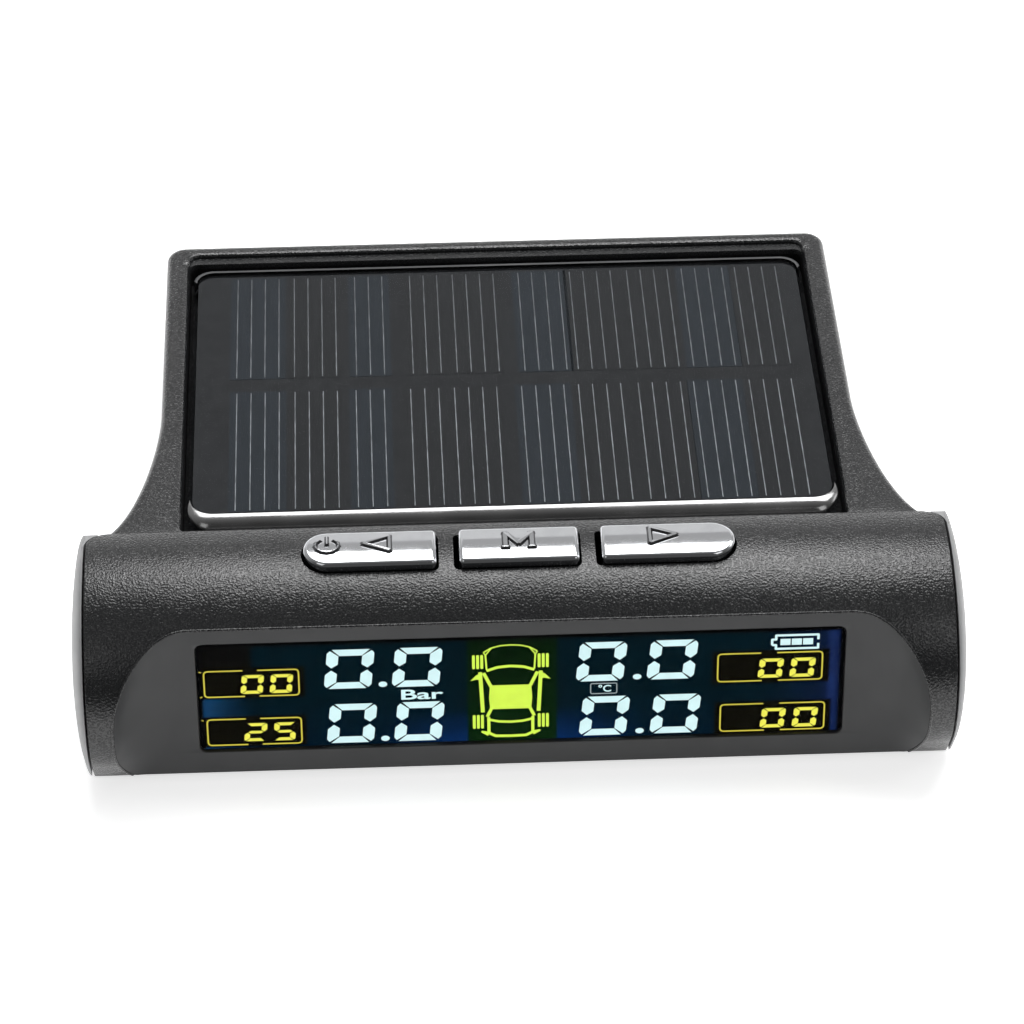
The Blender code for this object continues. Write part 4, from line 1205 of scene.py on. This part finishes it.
def button(name, x, end):
    """A chromed cap: upright skirt, rolled rim, and a crown in strips that follow the bar's curve."""
    rings = [[(a, b, BUTTON_FOOT) for a, b in button_plan(x, end)]]
    for inset, drop in BUTTON_RINGS:
        rings.append([(a, b, drum_height(b) - drop) for a, b in button_plan(x, end, inset)])
    count = len(rings[0])
    points = [p for r in rings for p in r]
    faces = [tuple(range(count))]
    for wall in walls(count, len(rings)):
        if math.dist(points[wall[0]], points[wall[1]]) > 1e-6:
            faces.append(wall)
    top = len(points) - count
    for i in range(BUTTON_STEPS):
        faces.append((top + i, top + i + 1, top + count - 2 - i, top + count - 1 - i))
    cap = new_object(f"button_cap_{name}", points, faces, CHROME)
    face_out(cap.data, weld=True)
    smooth(cap, 25.0)
    show(cap, f"{name}_key", "chrome", f"button_{name}")


def drawn_in(outline, amount):
    """An outline with every side moved inwards by an amount."""
    count = len(outline)
    points = [Vector(p) for p in outline]
    area = sum(a.x * b.y - b.x * a.y for a, b in zip(points, points[1:] + points[:1]))
    turn = 1.0 if area > 0 else -1.0
    moved = []
    for i, point in enumerate(points):
        before = (point - points[i - 1]).normalized()
        after = (points[(i + 1) % count] - point).normalized()
        inward = [Vector((-side.y, side.x)) * turn for side in (before, after)]
        moved.append(tuple(point + (inward[0] + inward[1]) * amount / (1 + inward[0].dot(inward[1]))))
    return moved


def raised(outline, lift=0.26, slope=0.17):
    """A low relief shape on a button, with sloping sides."""
    rings = []
    for rise, inset in ((-0.15, 0.0), (0.02, 0.0), (lift, slope)):
        rings.append([(x, y, drum_height(y) + rise) for x, y in drawn_in(outline, inset)])
    return skin(rings)


def relief_line(points, width):
    """A raised stroke, one block for each stretch with a little overlap at the bends."""
    made = []
    for a, b in zip(points, points[1:]):
        a, b = Vector(a), Vector(b)
        along = (b - a).normalized() * width * 0.3
        side = (b - a).normalized().orthogonal() * width / 2
        a, b = a - along, b + along
        made.append(raised([tuple(a + side), tuple(b + side), tuple(b - side), tuple(a - side)]))
    return made


def button_symbols():
    """Power ring and arrow, mode letter, and arrow, as low relief in chrome, with painted shade on their
    sloping sides.
    """
    turn = [math.radians(125 + 29 * i) for i in range(11)]
    power = relief_line([(-18.5 + 1.15 * math.cos(a), 11.7 + 0.95 * math.sin(a)) for a in turn], 0.46)
    power += relief_line([(-18.5, 11.8), (-18.5, 12.95)], 0.46)
    power += relief_line([(-12.45, 10.8), (-15.0, 11.85), (-12.45, 12.9), (-12.45, 10.8)], 0.6)
    mode = relief_line([(-1.2, 10.8), (-1.2, 12.85), (0.08, 11.3), (1.36, 12.85), (1.36, 10.8)], 0.74)
    for x in (-1.2, 1.36):
        mode += relief_line([(x - 0.34, 10.8), (x + 0.34, 10.8)], 0.46)
    arrow = relief_line([(12.85, 10.85), (15.4, 11.95), (12.85, 13.05), (12.85, 10.85)], 0.6)
    for name, blocks in (("left", power), ("mode", mode), ("right", arrow)):
        mark = merge(f"button_mark_{name}", blocks, CHROME)
        mark.data.materials.append(PAINTED_SHADE_CHROME)
        # Faces that slope away from the top take the darker chrome as painted shade
        for face in mark.data.polygons:
            face.material_index = 1 if face.normal.z < 0.86 else 0
        show(mark, f"{name}_key", "chrome")


# Underside


def case_screws():
    """Pan-head screws with a cross recess, seen from below."""
    head = ((0.55, 0.0), (0.8, 0.05), (0.95, 0.18), (1.0, 0.34), (1.0, 0.65))
    rims = (*head, (0.43, 0.65), (0.43, 4.4), (0.1, 5.0))
    for corner in CASE_CORNERS:
        node = f"case_screw_{corner}"
        low, high = station_box(node)
        spot = ((low.x + high.x) / 2, (low.y + high.y) / 2)
        radius = (high.x - low.x) / 2
        rings = []
        for share, rise in rims:
            rings.append([(x, y, low.z + rise) for x, y in ring(spot, radius * share, 32)])
        screw = loft(f"{node}_detail", rings, STEEL)
        reach = radius * 0.62
        for dx, dy in ((reach, 0.16), (0.16, reach)):
            plan = rectangle((spot[0] - dx, spot[0] + dx), (spot[1] - dy, spot[1] + dy))
            combine(screw, "DIFFERENCE", prism("cross", plan, low.z - 1.0, low.z + 0.4, STEEL))
        smooth(screw, 30.0)
        show(screw, "monitor", "screws", node)


def grip_pad():
    """The soft pad: its rim rounded above and below, flat where it touches."""
    low, high = station_box("mounting_pad")
    rings = []
    for depth, inset in ((0.0, 0.35), (0.1, 0.12), (0.35, 0.0), (0.85, 0.0), (1.1, 0.12), (1.2, 0.3)):
        plan = rounded_plan((low.x + inset, high.x - inset), (low.y + inset, high.y - inset), 4.0 - inset)
        rings.append([(x, y, low.z + depth) for x, y in plan])
    pad = loft("grip_pad", rings, SILICONE)
    smooth(pad, 30.0)
    show(pad, "monitor", "silicone", "mounting_pad")


# Parts that keep their own shape


def board_material():
    """Green solder mask over copper tracks."""
    made, principled = shader("green_board", Specular_IOR_Level=0.5)
    tracks = noise(made, 1.4, 0.0, (1.0, 0.25, 1.0))
    colour = tint(made, tracks, (0.006, 0.07, 0.025), (0.012, 0.13, 0.045), 0.48, 0.52)
    feed(made, principled, Base_Color=colour, Roughness=between(made, noise(made, 3.0, 3.0), 0.25, 0.4))
    bump(made, principled, (tracks, 0.02), (noise(made, 0.3, 2.0), 0.003))
    return made


def film_material():
    """Amber polyimide film with conductors showing through along it."""
    made, principled = shader("amber_film")
    lines = noise(made, 0.5, 0.0, (1.0, 0.02, 0.02))
    colour = tint(made, lines, (0.3, 0.13, 0.02), (0.46, 0.24, 0.05), 0.46, 0.54)
    feed(made, principled, Base_Color=colour, Roughness=between(made, noise(made, 2.0, 3.0), 0.28, 0.42))
    bump(made, principled, (lines, 0.01))
    return made


def dress_nodes():
    """Gives every node that stays visible its material."""
    wearers = (
        (COVER, "bottom_cover"),
        (WHITE_PART, "light_guide", "display_frame", "battery_tape"),
        (BACKING, "solar_backsheet"),
        (RED_WIRE, "solar_lead_red", "battery_lead_red"),
        (BLACK_WIRE, "solar_lead_black", "battery_lead_black"),
        (FOIL, "battery"),
        (BRASS, "antenna_coil", "vibration_sensor"),
        (STEEL, "rf_module", "crystal", "usb_socket_shell"),
        (board_material(), "button_board", "main_board"),
        (film_material(), "display_ribbon"),
    )
    finishes = {name: finish for finish, *names in wearers for name in names}
    steel_starts = ("switch_body", "button_board_screw", "main_board_screw")
    for name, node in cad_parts.items():
        finish = finishes.get(name)
        if finish is None:
            finish = STEEL if name.startswith(steel_starts) else BLACK_PART
        node.data.materials.clear()
        node.data.materials.append(finish)
        smooth(node, 30.0)


# Stage, light and camera


FLOOR_HALF = 4.0


def stage():
    mesh = bpy.data.meshes.new("floor")
    corners = rectangle((-FLOOR_HALF, FLOOR_HALF), (-FLOOR_HALF, FLOOR_HALF))
    mesh.from_pydata([(x, y, 0.0) for x, y in corners], [], [(0, 1, 2, 3)])
    floor = place("floor", mesh)
    floor.location.z = cad_box[0].z - 0.02 * MM
    pale, _ = shader(
        "floor_pale", Base_Color=grey(0.92), Roughness=0.9, Specular_IOR_Level=0.1,
        Emission_Color=grey(1.0), Emission_Strength=0.66,
    )
    mesh.materials.append(pale)


# Each softbox's place, aim, size and power
SOFTBOXES = {
    "overhead": ((0.05, 0.225, 0.434), (0.0, -0.02, 0.01), (0.46, 0.22), 1.9),
    "rear": ((0.0, 0.63, 0.307), (0.0, 0.0, 0.01), (0.9, 0.27), 0.24),
    "backdrop": ((0.0, 0.8, 0.07), (0.0, 0.0, 0.015), (1.3, 0.14), 0.55),
    "front_left": ((-0.25, -0.32, 0.44), (0.0, 0.0, 0.01), (0.22, 0.26), 0.14),
    "front_right": ((0.25, -0.32, 0.44), (0.0, 0.0, 0.01), (0.22, 0.26), 0.2),
    "right_fill": ((0.55, 0.15, 0.3), (0.0, 0.0, 0.01), (0.3, 0.3), 0.4),
}


def lights():
    """The softboxes, in a room that is darker in front."""
    world = bpy.data.worlds.new("studio")
    bpy.context.scene.world = world
    world.use_nodes = True
    background = world.node_tree.nodes["Background"]
    background.inputs["Color"].default_value = (1.0, 1.0, 1.0, 1.0)
    heading = add_node(world, "ShaderNodeSeparateXYZ")
    link(world, add_node(world, "ShaderNodeTexCoord").outputs["Generated"], heading.inputs["Vector"])
    link(world, between(world, heading.outputs["Y"], 0.08, 0.45, -0.5, 0.5), background.inputs["Strength"])
    for name, (spot, aim, size, power) in SOFTBOXES.items():
        light = bpy.data.lights.new(name, "AREA")
        light.shape = "RECTANGLE"
        light.size, light.size_y = size
        light.energy = power
        holder = place(name, light)
        holder.location = spot
        holder.rotation_euler = (Vector(aim) - Vector(spot)).to_track_quat("-Z", "Y").to_euler()


def camera():
    """The viewing angle: 46 degrees down, nearly square on, from 0.4 m."""
    elevation = math.radians(46.16)
    heading = math.radians(2.74)
    roll = math.radians(0.35)
    distance = 400.0
    shift = (-0.19, 0.43)
    ahead = Vector((
        math.sin(heading) * math.cos(elevation),
        math.cos(heading) * math.cos(elevation),
        -math.sin(elevation),
    ))
    right = Vector((math.cos(heading), -math.sin(heading), 0.0))
    up = right.cross(ahead)
    across = right * math.cos(roll) + up * math.sin(roll)
    above = up * math.cos(roll) - right * math.sin(roll)
    target = Vector((0.0, 19.57, 14.1)) + FOOT
    spot = (target - ahead * distance + across * shift[0] + above * shift[1]) * MM
    data = bpy.data.cameras.new("camera")
    data.sensor_width = 36.0
    data.lens = 141.84
    data.clip_start = 0.01
    eye = place("camera", data)
    turn = Matrix((across, above, -ahead)).transposed()
    eye.matrix_world = Matrix.Translation(spot) @ turn.to_4x4()
    bpy.context.scene.camera = eye


dress_nodes()
housing()
face_lip()
end_caps()
panel_resin()
solar_cells()
display()
for key, (low_x, high_x, round_end) in BUTTONS.items():
    button(key, (low_x, high_x), round_end)
button_symbols()
case_screws()
grip_pad()
stage()
lights()
camera()
bpy.context.scene.view_settings.view_transform = "Standard"
